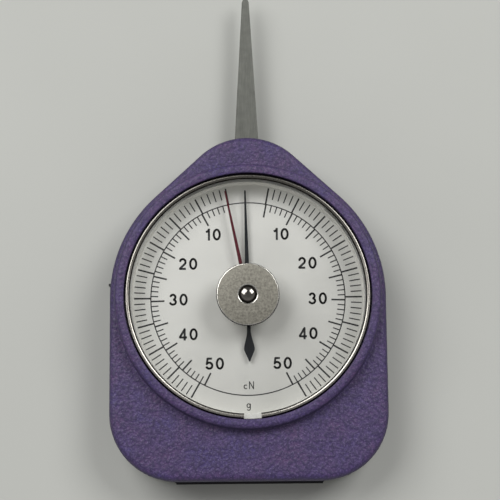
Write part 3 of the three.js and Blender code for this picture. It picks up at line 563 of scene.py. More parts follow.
def purple_paint():
    """Wrinkle paint: small bent cells, painted shade in the wrinkles, painted glints and painted shade
    on the steep faces.
    """
    s = Shader("purple_wrinkle_paint")
    warp = s.add("ShaderNodeTexNoise")
    warp.inputs["Scale"].default_value = 1.1
    warp.inputs["Detail"].default_value = 2
    s.link(s.place, warp.inputs["Vector"])
    bent = s.add("ShaderNodeVectorMath", operation="MULTIPLY_ADD")
    bent.inputs[1].default_value = (0.9, 0.9, 0.9)
    s.link(warp.outputs["Color"], bent.inputs[0])
    s.link(s.place, bent.inputs[2])
    cells = s.add("ShaderNodeTexVoronoi", feature="SMOOTH_F1")
    cells.inputs["Scale"].default_value = 1.45
    cells.inputs["Smoothness"].default_value = 0.6
    s.link(bent.outputs[0], cells.inputs["Vector"])
    ridges = s.remap(cells.outputs["Distance"], 0.1, 0.75, 0, 1)
    grain = s.noise(3.5, 3)
    height = s.math("ADD", ridges, s.math("MULTIPLY", grain, 0.5))
    s.bump(height, 0.14, 0.6)
    tone = s.noise(0.16, 3)
    base = s.shade(tone, 0.35, 0.65, (70, 58, 112), (86, 61, 104))
    # Painted shade in the wrinkles: the paint is darker where the bump pattern is high.
    polish_and_painted_shade = s.mix(s.remap(height, 0.2, 1.2, 0, 1), base, paint_value(50, 38, 78))
    # Painted glints: light specks in random places.
    glints = s.noise(4.2, 2)
    specked = s.mix(s.remap(glints, 0.54, 0.7, 0, 0.45), polish_and_painted_shade, paint_value(122, 106, 152))
    # Painted shade: the steep faces are painted darker.
    s.colour(s.mix(s.steepness(), specked, paint_value(52, 43, 76)))
    s.roughness(s.remap(grain, 0.3, 0.7, 0.42, 0.6))
    return s.material


def black_enamel():
    """The cover's dark paint, slightly uneven."""
    s = Shader("black_enamel")
    grain = s.noise(2.5, 4)
    s.colour(s.mix(grain, paint_value(24, 24, 27), paint_value(38, 38, 41)))
    s.roughness(s.remap(grain, 0.3, 0.7, 0.38, 0.6))
    s.bump(s.noise(6, 3), 0.03, 0.5)
    return s.material


def brushed_metal(name, dark, light, roughness, lines, stretch, metallic=1.0):
    """Metal with fine lines: stretch gives how much shorter the pattern is along each axis."""
    s = Shader(name, metallic=metallic)
    pattern = s.noise(lines, 3, 0.6, s.stretched(*stretch))
    stains = s.noise(0.5, 3)
    blend = s.math("ADD", s.math("MULTIPLY", pattern, 0.65), s.math("MULTIPLY", stains, 0.35))
    s.colour(s.shade(blend, 0.35, 0.65, dark, light))
    s.roughness(s.remap(pattern, 0.3, 0.7, roughness * 0.8, roughness * 1.2))
    s.bump(pattern, SCRATCH_DEPTH, 0.6)
    return s.material


def turned_metal(name, dark, light, roughness, lines):
    """Metal with fine rings about the dial axis, as a lathe leaves them."""
    s = Shader(name, metallic=1.0)
    rings = s.add("ShaderNodeCombineXYZ")
    s.link(s.radius(), rings.inputs[0])
    s.link(s.math("MULTIPLY", s.split(s.place)[2], 0.2), rings.inputs[1])
    pattern = s.noise(lines, 3, 0.6, rings.outputs[0])
    speckle = s.noise(3, 3)
    blend = s.math("ADD", s.math("MULTIPLY", pattern, 0.6), s.math("MULTIPLY", speckle, 0.4))
    s.colour(s.shade(blend, 0.35, 0.65, dark, light))
    s.roughness(s.remap(blend, 0.3, 0.7, roughness * 0.8, roughness * 1.2))
    s.bump(pattern, SCRATCH_DEPTH, 0.6)
    return s.material


def dial_silver():
    """Matt silvered metal of random tone, painted lighter towards the upper left and darker towards the
    lower right as painted light and shade.
    """
    s = Shader("dial_silver", specular=0.8)
    grain = s.noise(9, 3)
    cloud = s.noise(0.12, 2)
    x, y, _ = s.split(s.place)
    # Painted light and shade: a slope from the upper left to the lower right.
    painted_light_slope = s.math("SUBTRACT", s.math("MULTIPLY", x, 0.75), s.math("MULTIPLY", y, 0.85))
    blend = s.math("ADD", s.math("MULTIPLY", grain, 0.2), s.math("MULTIPLY", cloud, 0.3))
    tone_and_painted_light = s.math("ADD", blend, s.remap(painted_light_slope, -24, 24, 0, 0.5))
    s.colour(s.shade(tone_and_painted_light, 0.2, 0.8, (231, 231, 226), (192, 192, 187)))
    s.roughness(s.remap(grain, 0.3, 0.7, 0.48, 0.6))
    s.bump(grain, 0.004, 0.4)
    return s.material


def spacer_alloy():
    """Pale matt metal; its wall is painted lighter at the foot and darker at the top, as painted light
    and shade.
    """
    s = Shader("spacer_alloy", metallic=0.1)
    speckle = s.noise(3, 3)
    metal = s.shade(speckle, 0.35, 0.65, (216, 216, 210), (230, 230, 224))
    height = s.split(s.place)[2]
    # Painted light and shade: the wall goes from light at its foot to darker at its top.
    wall_painted_shade = s.shade(height, DIAL_TOP, CRYSTAL_BOTTOM, (248, 247, 242), (222, 220, 213))
    s.colour(s.mix(s.steepness(), metal, wall_painted_shade))
    s.roughness(s.remap(speckle, 0.3, 0.7, 0.44, 0.56))
    s.bump(speckle, 0.004, 0.5)
    return s.material


def snap_steel():
    """Polished wire, painted duller towards the nose and painted near black on its flanks, both as
    painted shade.
    """
    s = Shader("snap_steel", metallic=1.0)
    speckle = s.noise(3, 3)
    bright = s.shade(speckle, 0.35, 0.65, (182, 178, 170), (194, 190, 182))
    # Painted shade: the wire is painted duller towards the nose.
    polish_and_painted_shade = s.remap(s.split(s.place)[1], -20, 26, 0, 1)
    metal = s.mix(polish_and_painted_shade, bright, paint_value(116, 113, 107))
    # Painted shade: the flanks are painted near black.
    s.colour(s.mix(s.steepness(0.88, 0.7), metal, paint_value(24, 20, 17)))
    s.roughness(s.remap(speckle, 0.3, 0.7, 0.26, 0.32))
    s.bump(speckle, 0.0006, 0.4)
    return s.material


def clear_glass():
    """A clear pane: it lets light straight through and mirrors a little more at low angles."""
    s = Shader("clear_glass")
    clear = s.add("ShaderNodeBsdfTransparent")
    clear.inputs["Color"].default_value = (0.994, 0.994, 0.992, 1)
    mirror = s.add("ShaderNodeBsdfGlossy")
    mirror.inputs["Color"].default_value = (1, 1, 1, 1)
    smudge = s.noise(0.25, 4)
    s.link(s.remap(smudge, 0.45, 0.75, 0.02, 0.07), mirror.inputs["Roughness"])
    slant = s.add("ShaderNodeLayerWeight")
    slant.inputs["Blend"].default_value = 0.5
    share = s.remap(s.math("POWER", slant.outputs["Facing"], 5), 0, 1, 0.035, 1)
    pane = s.add("ShaderNodeMixShader")
    s.link(share, pane.inputs[0])
    s.link(clear.outputs[0], pane.inputs[1])
    s.link(mirror.outputs[0], pane.inputs[2])
    s.link(pane.outputs[0], s.output.inputs["Surface"])
    s.tree.nodes.remove(s.shader)
    return s.material


def knob_nickel():
    """The knob's matt face, blotched by wear."""
    s = Shader("knob_nickel", metallic=0.6)
    blotch = s.noise(2.0, 4, 0.6)
    specks = s.noise(5, 2)
    blend = s.math("ADD", s.math("MULTIPLY", blotch, 0.7), s.math("MULTIPLY", specks, 0.3))
    s.colour(s.shade(blend, 0.38, 0.62, (114, 111, 102), (152, 149, 138)))
    s.roughness(s.remap(blotch, 0.3, 0.7, 0.38, 0.56))
    s.bump(blend, 0.02, 0.6)
    return s.material


def dome_polish():
    """The dome is polished by wear on top; its sides are painted dark, as painted shade."""
    s = Shader("dome_polish", metallic=1.0)
    speckle = s.noise(2.5, 3)
    polish_and_painted_shade = s.shade(speckle, 0.35, 0.65, (140, 137, 131), (156, 153, 146))
    # Painted shade: the steep sides are painted dark.
    s.colour(s.mix(s.steepness(0.9, 0.78), polish_and_painted_shade, paint_value(44, 41, 38)))
    s.roughness(s.remap(speckle, 0.3, 0.7, 0.13, 0.18))
    s.bump(speckle, 0.001, 0.4)
    return s.material


def lacquer(name, dark, light):
    """The thin dull paint of a hand."""
    s = Shader(name, specular=0.2)
    grain = s.noise(2, 4)
    s.colour(s.shade(grain, 0.3, 0.7, dark, light))
    s.roughness(s.remap(grain, 0.3, 0.7, 0.3825, 0.5175))
    s.bump(s.noise(12, 2), 0.003, 0.4)
    return s.material


def ink():
    """The dial's black print."""
    s = Shader("scale_ink", roughness=0.55)
    grain = s.noise(6, 3)
    s.colour(s.mix(grain, paint_value(8, 8, 10), paint_value(26, 26, 28)))
    s.bump(grain, 0.002, 0.4)
    return s.material


MATERIALS = {
    "paint": purple_paint(),
    "cover": black_enamel(),
    "feeler": brushed_metal("feeler_steel", (90, 91, 86), (113, 114, 108), 0.5, 1.0, (9, 0.35, 9), 0.6),
    "steel": brushed_metal("grey_steel", (150, 150, 148), (176, 176, 172), 0.32, 3, (1, 1, 1)),
    "spacer": spacer_alloy(),
    "nickel": knob_nickel(),
    # The knurl's near-black colour is painted shade on the knob's side.
    "knurl": turned_metal("knurl_painted_shade", (20, 18, 16), (46, 43, 38), 0.45, 4),
    "edge": turned_metal("edge_nickel", (232, 230, 222), (244, 242, 236), 0.26, 4),
    "polish": dome_polish(),
    "snap": snap_steel(),
    "brass": turned_metal("brass", (190, 160, 98), (212, 184, 120), 0.32, 4),
    "spring": brushed_metal("spring_steel", (92, 100, 112), (120, 128, 138), 0.28, 2, (1, 1, 6)),
    "dial": dial_silver(),
    "glass": clear_glass(),
    "black_hand": lacquer("black_hand", (10, 12, 16), (24, 28, 34)),
    "red_hand": lacquer("red_hand", (70, 10, 24), (92, 16, 34)),
    "ink": ink(),
}


def add_piece(piece, body, material, slot, *replaced):
    """Gives a piece a material, unless it has its own, its body and what it replaces. Its slot is not
    used.
    """
    if not piece.data.materials:
        piece.data.materials.append(MATERIALS[material])
    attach(piece, body)
    if replaced:
        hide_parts(*replaced)


# Dial print: ticks, the circle between the scales, numbers and unit signs
PRINT_HEIGHT = 0.02
MID_CIRCLE = 21.4
MID_CIRCLE_WIDTH = 0.24
OUTER_SHORT = (22.7, 25.1)
OUTER_LONG = (21.4, 25.1)
INNER_SHORT = (19.8, 21.4)
INNER_LONG = (18.4, 21.4)
SHORT_WIDTH = 0.25
LONG_WIDTH = 0.36
INNER_ANGLES = [11.36, 28.01, 44.50, 60.66, 76.43, 91.55, 106.83, 122.13, 137.50, 153.28]
OUTER_ANGLES = [11.06, 27.51, 43.59, 59.55, 74.89, 89.80, 104.75, 119.59, 134.88, 150.07]
LABELS = [
    ("10", 27.8, 16.15),
    ("20", 59.6, 15.3),
    ("30", 90.75, 15.35),
    ("40", 121.0, 15.35),
    ("50", 152.7, 16.2),
]
DIGIT_HEIGHT = 2.7
DIGIT_STROKE = 0.47
DIGIT_STEP = 2.31
ONE_KERN = 0.42
UNIT_HEIGHT = 1.7
UNIT_STROKE = 0.2
UNIT_STEP = 1.15
UNIT_SIGNS = [("cN", -19.2), ("g", -23.3)]
FIRST_UNIT = 5
LAST_UNIT = 50
UNITS_PER_LONG = 5


def tick_angles(fives):
    """The angle of each whole unit, between the measured angles of every fifth one."""
    units = np.arange(FIRST_UNIT, LAST_UNIT + 1)
    return list(zip(units, np.interp(units, units[::UNITS_PER_LONG], fives)))


def bar(angle, inner, outer, width):
    """Corners of a radial bar; the angle is counted clockwise from the feeler."""
    along = Vector((math.sin(math.radians(angle)), math.cos(math.radians(angle))))
    across = Vector((along.y, -along.x)) * width / 2
    near, far = along * inner, along * outer
    return [near - across, near + across, far + across, far - across]


def printed(name, shapes):
    """Thin raised shapes on the dial, each an outline of (x, y) points."""
    verts, faces = [], []
    top = DIAL_TOP + PRINT_HEIGHT
    for shape in shapes:
        first = len(verts)
        count = len(shape)
        verts += [(p[0], p[1], DIAL_TOP) for p in shape] + [(p[0], p[1], top) for p in shape]
        faces.append(tuple(range(first + count, first + 2 * count)))
        faces += [
            (first + i, first + (i + 1) % count, first + count + (i + 1) % count, first + count + i)
            for i in range(count)
        ]
    return make_object(name, verts, faces)


def scale_marks(name, fives, short, long):
    shapes = []
    for side in (1, -1):
        for unit, angle in tick_angles(fives):
            is_long = unit % UNITS_PER_LONG == 0
            reach = long if is_long else short
            shapes.append(bar(side * angle, *reach, LONG_WIDTH if is_long else SHORT_WIDTH))
    return printed(name, shapes)


def mid_circle():
    inner = MID_CIRCLE - MID_CIRCLE_WIDTH / 2
    outer = MID_CIRCLE + MID_CIRCLE_WIDTH / 2
    top = DIAL_TOP + PRINT_HEIGHT
    profile = [(inner, DIAL_TOP), (inner, top), (outer, top), (outer, DIAL_TOP)]
    return lathe("mid_circle", profile, DIAL_STEPS)


# Signs as strokes in a box one high and SIGN_WIDTH wide, each a list of points that the pen follows
SIGN_WIDTH = 0.685
SIGNS = {
    "0": [bow(0.343, 0.5, 0.246, 0.404, 90, 450, 40)],
    "1": [[(0.14, 0.73), (0.27, 0.75), (0.36, 0.82), (0.4, 0.96)], [(0.4, 1.0), (0.4, 0.0)]],
    "2": [bow(0.343, 0.66, 0.225, 0.244, 172, -38, 18) + [(0.13, 0.14), (0.12, 0.096), (0.6, 0.096)]],
    "3": [bow(0.33, 0.7, 0.2, 0.204, 168, -78, 16), bow(0.33, 0.3, 0.236, 0.204, 82, -168, 18)],
    "4": [[(0.47, 0.0), (0.47, 0.92), (0.1, 0.3), (0.1, 0.25), (0.66, 0.25)]],
    "5": [[(0.56, 0.904), (0.2, 0.904), (0.14, 0.47)] + bow(0.335, 0.34, 0.246, 0.244, 142, -160, 20)],
    "c": [bow(0.3, 0.3, 0.22, 0.24, 50, 310, 18)],
    "N": [[(0.1, 0.0), (0.1, 0.96), (0.62, 0.04), (0.62, 1.0)]],
    "g": [
        bow(0.3, 0.3, 0.2, 0.24, 0, 360, 24),
        [(0.52, 0.56), (0.52, -0.12)] + bow(0.31, -0.1, 0.21, 0.18, 0, -150, 12),
    ],
}


def stroke_quads(points, width):
    """One bar for each step of the pen."""
    shapes = []
    for start, end in zip(points, points[1:]):
        along = end - start
        across = Vector((-along.y, along.x)).normalized() * width / 2
        shapes.append([start - across, end - across, end + across, start + across])
    return shapes


def disc_shapes(points, width):
    """A small disc at each point, which rounds the corners between the bars."""
    rim = arc((0, 0), width / 2, 0, 345, 15)
    return [[(p.x + x, p.y + y) for x, y in rim] for p in points]


def sign_shapes(text, x, y, height, stroke, step):
    """Strokes of a text centred on (x, y)."""
    shapes = []
    pen = -(step * (len(text) - 1) + SIGN_WIDTH * height) / 2
    for sign in text:
        for track in SIGNS[sign]:
            local = [Vector((pen + px * height, (py - 0.5) * height)) for px, py in track]
            placed = [p + Vector((x, y)) for p in local]
            shapes += stroke_quads(placed, stroke) + disc_shapes(placed[1:-1], stroke)
        pen += step - (ONE_KERN if sign == "1" else 0)
    return shapes


def numbers():
    shapes = []
    for side in (1, -1):
        for text, angle, radius in LABELS:
            x = side * radius * math.sin(math.radians(angle))
            y = radius * math.cos(math.radians(angle))
            shapes += sign_shapes(text, x, y, DIGIT_HEIGHT, DIGIT_STROKE, DIGIT_STEP)
    return printed("scale_numbers", shapes)


def unit_signs():
    shapes = []
    for text, y in UNIT_SIGNS:
        shapes += sign_shapes(text, 0, y, UNIT_HEIGHT, UNIT_STROKE, UNIT_STEP)
    return printed("unit_signs", shapes)


# Hands
POINTER_REACH = 24.0
POINTER_TURN = 1.1
DRAG_REACH = 24.15
DRAG_TURN = 11.6
HAND_BEVEL = 0.05
POINTER_BORE = 0.98
POINTER_BOSS = 1.5
DRAG_HOLE = 1.4
DRAG_BORE = 1.45
DRAG_BOSS = 2.25


def hand_outline(right):
    """The whole outline from its right half, which runs from the tail to the tip."""
    return right + [(-x, y) for x, y in reversed(right)]


def boss_ring(name, bore, radius, bottom, top):
    section = [(bore, bottom), (radius, bottom), (radius, top), (bore, top)]
    return lathe(name, section, BOSS_STEPS, closed=True)


def pointer_hand():
    bottom, top = low("pointer_hand").z, high("pointer_hand").z
    tail = [(0.12, -14.1), (0.42, -13.3), (0.82, -12.4), (1.12, -11.7), (1.2, -11.25), (1.1, -10.7)]
    neck = [(0.82, -9.6), (0.52, -8.4), (0.4, -7.4), (0.45, -4), (0.575, 0)]
    blade = [(0.175, POINTER_REACH)]
    outline = hand_outline(tail + neck + blade)
    arm = prism("pointer_blade", outline, bottom, top, bevel=HAND_BEVEL, hole=POINTER_BORE)
    boss = boss_ring("pointer_boss", POINTER_BORE, POINTER_BOSS, bottom, top)
    return move(join_objects("pointer_arm", [arm, boss]), turn=math.radians(POINTER_TURN))


def drag_hand():
    bottom, top = low("drag_hand").z, high("drag_hand").z
    outline = hand_outline([(0.5, 0), (0.175, DRAG_REACH)])
    arm = prism("drag_blade", outline, bottom, top, bevel=HAND_BEVEL, hole=DRAG_HOLE)
    boss = boss_ring("drag_boss", DRAG_BORE, DRAG_BOSS, bottom, top)
    return move(join_objects("drag_arm", [arm, boss]), turn=math.radians(DRAG_TURN))


# Window pieces
DIAL_BORE = 1.1
SPACER_WIDTH = 1.3
SPACER_FOOT_CHAMFER = 0.1
SPACER_TOP_CHAMFER = 0.12
GLASS_CHAMFER = 0.15
GLASS_BORE = 2.28
SNAP_GAP = 2.55
SNAP_GAP_ANGLE = -88.2
SNAP_STEPS = 480
SNAP_SIDES = 20


def dial():
    profile = [
        (DIAL_BORE, DIAL_SEAT),
        (DIAL_BORE, DIAL_TOP),
        (CRYSTAL_RADIUS, DIAL_TOP),
        (CRYSTAL_RADIUS, DIAL_SEAT),
    ]
    return lathe("dial_face", profile, DIAL_STEPS, closed=True)


def spacer():
    inner = CRYSTAL_RADIUS - SPACER_WIDTH
    profile = [
        (inner + SPACER_FOOT_CHAMFER, DIAL_TOP),
        (inner, DIAL_TOP + SPACER_FOOT_CHAMFER),
        (inner, CRYSTAL_BOTTOM - SPACER_TOP_CHAMFER),
        (inner + SPACER_TOP_CHAMFER, CRYSTAL_BOTTOM),
        (CRYSTAL_RADIUS, CRYSTAL_BOTTOM),
        (CRYSTAL_RADIUS, DIAL_TOP),
    ]
    return lathe("spacer", profile, DIAL_STEPS, closed=True)


def glass():
    profile = [
        (GLASS_BORE, CRYSTAL_BOTTOM),
        (GLASS_BORE, CRYSTAL_TOP),
        (CRYSTAL_RADIUS - GLASS_CHAMFER, CRYSTAL_TOP),
        (CRYSTAL_RADIUS, CRYSTAL_TOP - GLASS_CHAMFER),
        (CRYSTAL_RADIUS, CRYSTAL_BOTTOM + GLASS_CHAMFER),
        (CRYSTAL_RADIUS - GLASS_CHAMFER, CRYSTAL_BOTTOM),
    ]
    return lathe("window_glass", profile, DIAL_STEPS, closed=True)


def snap_ring():
    """A round wire bent to a ring, with its gap at the foot of the window."""
    wire = (high("snap_ring").z - low("snap_ring").z) / 2
    level = (low("snap_ring").z + high("snap_ring").z) / 2
    radius = high("snap_ring").x - wire
    gap = (SNAP_GAP + 2 * wire) / radius
    first = math.radians(SNAP_GAP_ANGLE) + gap / 2
    last = first + 2 * math.pi - gap
    verts = []
    for i in range(SNAP_STEPS + 1):
        a = first + (last - first) * i / SNAP_STEPS
        for k in range(SNAP_SIDES):
            b = 2 * math.pi * k / SNAP_SIDES
            reach = radius + wire * math.cos(b)
            verts.append((reach * math.cos(a), reach * math.sin(a), level + wire * math.sin(b)))
    faces = []
    for i in range(SNAP_STEPS):
        here, ahead = i * SNAP_SIDES, (i + 1) * SNAP_SIDES
        for k in range(SNAP_SIDES):
            j = (k + 1) % SNAP_SIDES
            faces.append((here + k, ahead + k, ahead + j, here + j))
    faces.append(tuple(range(SNAP_SIDES)))
    faces.append(tuple(SNAP_STEPS * SNAP_SIDES + k for k in range(SNAP_SIDES))[::-1])
    return make_object("snap_wire", verts, faces)


# Knob, its dome and the hubs under it: radii, heights and chamfers
HUB_ROUND = 0.06
KNURLS = 90
KNURL_STEPS = 8
KNURL_DEPTH = 0.16
KNOB_CHAMFER = 0.25
KNOB_RIM_ROUND = 0.04
KNOB_RIM_WIDTH = 0.17
KNOB_RIM_DROP = 0.11
KNOB_FACE_DROP = 0.02
KNOB_FACE_RIM = 0.09
KNOB_RECESS_RADIUS = 3.4
KNOB_RECESS = 0.35
HOLE_RADIUS = 2.05
HOLE_EDGE = 2.24
HOLE_CHAMFER = 0.1
ARBOR_BORE = 0.95
ARBOR_RADIUS = 0.9
DOME_SEAT = KNOB_TOP - 0.6
DOME_RADIUS = 1.9
DOME_WALL = 0.3
DOME_CHAMFER = 0.08
DOME_RINGS = 24


def knob():
    knurled_rows = range(4, 8)

    def knurl(angle, row):
        if row not in knurled_rows:
            return 1
        tooth = abs(2 * ((angle * KNURLS / (2 * math.pi)) % 1) - 1)
        return 1 - KNURL_DEPTH / KNOB_RADIUS * (1 - tooth)

    shoulder = KNOB_RADIUS - KNOB_CHAMFER
    round_radius = KNOB_RADIUS - KNOB_RIM_ROUND
    rim_top = KNOB_TOP - KNOB_RIM_DROP
    recess = KNOB_BOTTOM + KNOB_RECESS
    profile = [
        (ARBOR_BORE, recess),
        (KNOB_RECESS_RADIUS, recess),
        (KNOB_RECESS_RADIUS, KNOB_BOTTOM),
        (shoulder, KNOB_BOTTOM),
        (round_radius, KNOB_BOTTOM + KNOB_CHAMFER),
        (KNOB_RADIUS, KNOB_BOTTOM + 2 * KNOB_CHAMFER),
        (KNOB_RADIUS, KNOB_TOP - KNOB_CHAMFER - KNOB_RIM_ROUND),
        (round_radius, KNOB_TOP - KNOB_CHAMFER),
        (KNOB_RADIUS - KNOB_RIM_WIDTH, rim_top),
        (shoulder, KNOB_TOP - KNOB_FACE_DROP),
        (shoulder - KNOB_FACE_RIM, KNOB_TOP),
        (HOLE_EDGE, KNOB_TOP),
        (HOLE_RADIUS, KNOB_TOP - HOLE_CHAMFER),
        (HOLE_RADIUS, DOME_SEAT),
        (ARBOR_BORE, DOME_SEAT),
    ]
    steps = KNURLS * KNURL_STEPS
    piece = lathe("knob_body", profile, steps, closed=True, wave=knurl, smooth_angle=FINE_ANGLE)
    for material in ("nickel", "knurl", "edge"):
        piece.data.materials.append(MATERIALS[material])
    for face in piece.data.polygons:
        reach = math.hypot(face.center.x, face.center.y) / MM
        if reach > shoulder and face.center.z / MM < rim_top:
            face.material_index = 1
        elif reach > shoulder - KNOB_FACE_RIM or HOLE_RADIUS < reach < HOLE_EDGE:
            face.material_index = 2
    return piece


def dome():
    bottom = low("drag_arbor").z
    foot = DOME_SEAT + DOME_WALL
    rise = DOME_TOP - foot
    turns = np.linspace(0, math.pi / 2, DOME_RINGS)
    profile = [
        (0, bottom),
        (ARBOR_RADIUS, bottom),
        (ARBOR_RADIUS, DOME_SEAT),
        (DOME_RADIUS - DOME_CHAMFER, DOME_SEAT),
        (DOME_RADIUS, DOME_SEAT + DOME_CHAMFER),
        *[(DOME_RADIUS * math.cos(a), foot + rise * math.sin(a)) for a in turns],
    ]
    return lathe("arbor_dome", profile, DOME_STEPS)


def round_hub(name, node, bore, neck, flange):
    """A turned hub; its flange is at its foot if given as a positive height, and else at its top."""
    start, end = (low(node).z, high(node).z) if flange > 0 else (high(node).z, low(node).z)
    radius = high(node).x
    soft = math.copysign(HUB_ROUND, flange)
    profile = [
        (bore, start),
        (radius - HUB_ROUND, start),
        (radius, start + soft),
        (radius, start + flange - soft),
        (radius - HUB_ROUND, start + flange),
        (neck, start + flange),
        (neck, end),
        (bore, end),
    ]
    return lathe(name, profile, HUB_STEPS, closed=True)


# Feeler: half widths, and how far their places lie from the pivot or before the tip
FEELER_HUB = 3.4
FEELER_HUB_STEPS = 48
FEELER_ROOT = (2.75, 10.4)
FEELER_SHOULDER = (0.8, 2.1)
FEELER_TIP = (0.55, 1.5)
FEELER_BEVEL = 0.07


def feeler():
    """A flat blade: a round hub at the pivot, then a long taper to a short straight tip."""
    bottom, top = low("feeler_blade").z, high("feeler_blade").z
    tip = high("feeler_blade").y
    hub = arc((0, PIVOT_Y), FEELER_HUB, 150, 390, FEELER_HUB_STEPS)
    right = [
        (FEELER_ROOT[0], PIVOT_Y + FEELER_ROOT[1]),
        (FEELER_SHOULDER[0], tip - FEELER_SHOULDER[1]),
        (FEELER_TIP[0], tip - FEELER_TIP[1]),
        (FEELER_TIP[0], tip),
    ]
    return prism("feeler_strip", [*hub, *hand_outline(right)], bottom, top, bevel=FEELER_BEVEL)


# The pieces that show, each on its body
add_piece(housing(), "case", "paint", "purple_paint", "front_housing")
add_piece(cover(), "case", "cover", "black_cover", "rear_cover")
for number in COVER_SCREWS:
    add_piece(cover_screw(number), "case", "steel", "grey_steel", f"rear_cover_screw_{number}")
add_piece(dial(), "case", "dial", "dial_silver", "dial_plate")
add_piece(spacer(), "case", "spacer", "bright_steel", "spacer_ring")
add_piece(glass(), "case", "glass", "crystal_glass", "crystal")
add_piece(snap_ring(), "case", "snap", "bright_steel", "snap_ring")
for print_piece in (
    scale_marks("inner_scale", INNER_ANGLES, INNER_SHORT, INNER_LONG),
    scale_marks("outer_scale", OUTER_ANGLES, OUTER_SHORT, OUTER_LONG),
    mid_circle(),
    numbers(),
    unit_signs(),
):
    add_piece(print_piece, "case", "ink", "black_hand")
add_piece(feeler(), "feeler", "feeler", "grey_steel", "feeler_blade")
add_piece(pointer_hand(), "pointer", "black_hand", "black_hand", "pointer_hand")
pointer_hub = round_hub("pointer_boss_hub", "pointer_hub", bore=0.5, neck=0.95, flange=0.7)
add_piece(pointer_hub, "pointer", "brass", "brass", "pointer_hub")
add_piece(drag_hand(), "drag_pointer", "red_hand", "red_hand", "drag_hand")
drag_hub = round_hub("drag_boss_hub", "drag_hub", bore=ARBOR_BORE, neck=1.4, flange=-0.35)
add_piece(drag_hub, "drag_pointer", "brass", "brass", "drag_hub")
add_piece(knob(), "drag_pointer", "nickel", "nickel", "reset_knob")
add_piece(dome(), "drag_pointer", "polish", "bright_steel", "drag_arbor")

# Materials of the CAD pieces that stay
KEPT = {
    "brass": [
        "movement_front_plate", "movement_back_plate", "pillar_1", "pillar_2", "pillar_3",
        "pointer_front_bush", "pointer_rear_bush", "feeler_front_bush", "feeler_rear_bush",
        "hairspring_stud", "hairspring_collet", "spring_block_right", "spring_block_left",
        "sector_gear", "feeler_rivet_right", "feeler_rivet_left", "crystal_bush", "crystal_bush_nut",
    ],
    "steel": [
        "front_plate_screw_1", "front_plate_screw_2", "front_plate_screw_3", "front_plate_screw_4",
        "pillar_screw_1", "pillar_screw_2", "pillar_screw_3", "spring_block_screw_right",
        "spring_block_screw_left", "zero_post", "stop_pin_right", "stop_pin_left", "feeler_arbor",
        "drive_pin", "pinion_arbor", "pusher_pin",
    ],
    "spring": ["leaf_spring_right", "leaf_spring_left", "hairspring", "friction_washer"],
}
for material, names in KEPT.items():
    for name in names:
        for slot in nodes[name].material_slots:
            slot.material = MATERIALS[material]


# Floor, light and camera. The floor, the lamps and the camera's clip planes are in metres
FLOOR_HALF = 3.0
FLOOR_DROP = 0.00002


def floor():
    mesh = bpy.data.meshes.new("floor")
    corners = [(x * FLOOR_HALF, y * FLOOR_HALF, 0) for x, y in ((-1, -1), (1, -1), (1, 1), (-1, 1))]
    mesh.from_pydata(corners, [], [(0, 1, 2, 3)])
    plane = bpy.data.objects.new("floor", mesh)
    plane.location.z = -FLOOR_DROP
    bpy.context.scene.collection.objects.link(plane)
    s = Shader("pale_floor", roughness=0.6, specular=0.2)
    cloud = s.noise(0.01, 4)
    s.colour(s.shade(cloud, 0.3, 0.7, (189, 190, 185), (194, 195, 190)))
    mesh.materials.append(s.material)


def lamp(name, direction, distance, size, share):
    """A square soft lamp that gives the floor that share of a full light."""
    towards = Vector(direction).normalized()
    data = bpy.data.lights.new(name, "AREA")
    data.shape = "SQUARE"
    data.size = size
    data.energy = share * math.pi**2 * distance**2 / towards.z
    light = bpy.data.objects.new(name, data)
    light.location = towards * distance
    light.rotation_euler = towards.to_track_quat("Z", "Y").to_euler()
    bpy.context.scene.collection.objects.link(light)


# The world's strengths
HORIZON_LIGHT = 0.38
ZENITH_LIGHT = 0.15
LOWER_END_LIGHT = 0.15


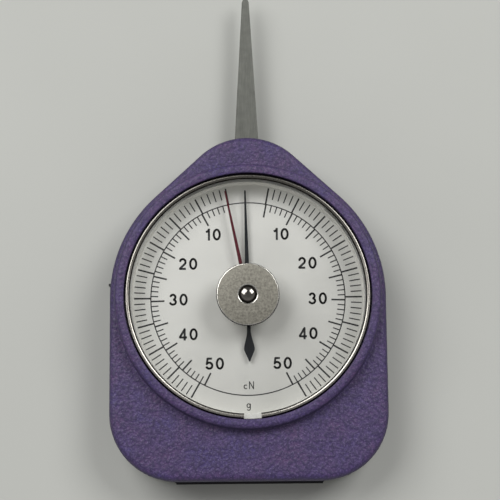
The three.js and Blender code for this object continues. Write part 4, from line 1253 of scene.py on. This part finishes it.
def world():
    """A room that is brighter at the horizon than above, and brighter beyond the case's lower end."""
    scene_world = bpy.data.worlds.new("soft_room")
    scene_world.use_nodes = True
    tree = scene_world.node_tree
    background = tree.nodes["Background"]
    direction = tree.nodes.new("ShaderNodeTexCoord")
    parts = tree.nodes.new("ShaderNodeSeparateXYZ")
    tree.links.new(direction.outputs["Generated"], parts.inputs[0])
    height = tree.nodes.new("ShaderNodeMapRange")
    height.inputs["From Min"].default_value = 0
    height.inputs["From Max"].default_value = 1
    height.inputs["To Min"].default_value = HORIZON_LIGHT
    height.inputs["To Max"].default_value = ZENITH_LIGHT
    tree.links.new(parts.outputs[2], height.inputs["Value"])
    side = tree.nodes.new("ShaderNodeMath")
    side.operation = "MULTIPLY_ADD"
    side.inputs[1].default_value = -LOWER_END_LIGHT
    tree.links.new(parts.outputs[1], side.inputs[0])
    tree.links.new(height.outputs[0], side.inputs[2])
    tree.links.new(side.outputs[0], background.inputs["Strength"])
    background.inputs["Color"].default_value = (1.0, 1.0, 0.985, 1)
    bpy.context.scene.world = scene_world


# The camera's angles in degrees, and its distance from the dial's centre in millimetres
ELEVATION = 80.5
ROLL = 0.55
DISTANCE = 330.0
IMAGE_SIDE = 500
DIAL_PIXEL = (247.94, 298.07)
PIXELS_PER_MM = 97.08 / MID_CIRCLE


def camera():
    """The photograph's view: it puts the dial's centre at DIAL_PIXEL of a square picture."""
    elevation = math.radians(ELEVATION)
    roll = math.radians(ROLL)
    view = Vector((0, math.cos(elevation), -math.sin(elevation)))
    right = Vector((1, 0, 0))
    up = right.cross(view)
    turned_right = right * math.cos(roll) - up * math.sin(roll)
    turned_up = up * math.cos(roll) + right * math.sin(roll)
    offset = (Vector(DIAL_PIXEL) - Vector((IMAGE_SIDE / 2, IMAGE_SIDE / 2))) / PIXELS_PER_MM
    centre = Vector((0, 0, DIAL_TOP))
    place = centre - view * DISTANCE - turned_right * offset.x + turned_up * offset.y
    data = bpy.data.cameras.new("camera")
    data.sensor_width = 36
    data.lens = data.sensor_width * PIXELS_PER_MM * DISTANCE / IMAGE_SIDE
    data.clip_start = 0.01
    data.clip_end = 20
    made = bpy.data.objects.new("camera", data)
    basis = Matrix((turned_right, turned_up, -view)).transposed()
    made.matrix_world = Matrix.Translation(place * MM) @ basis.to_4x4()
    bpy.context.scene.collection.objects.link(made)
    bpy.context.scene.camera = made


floor()
lamp("right_lamp", direction=(0.67, 0.56, 1.0), distance=1.1, size=0.5, share=0.33)
lamp("left_lamp", direction=(-0.62, 0.56, 1.0), distance=1.1, size=0.7, share=0.48)
world()
camera()
bpy.context.scene.view_settings.view_transform = "Standard"
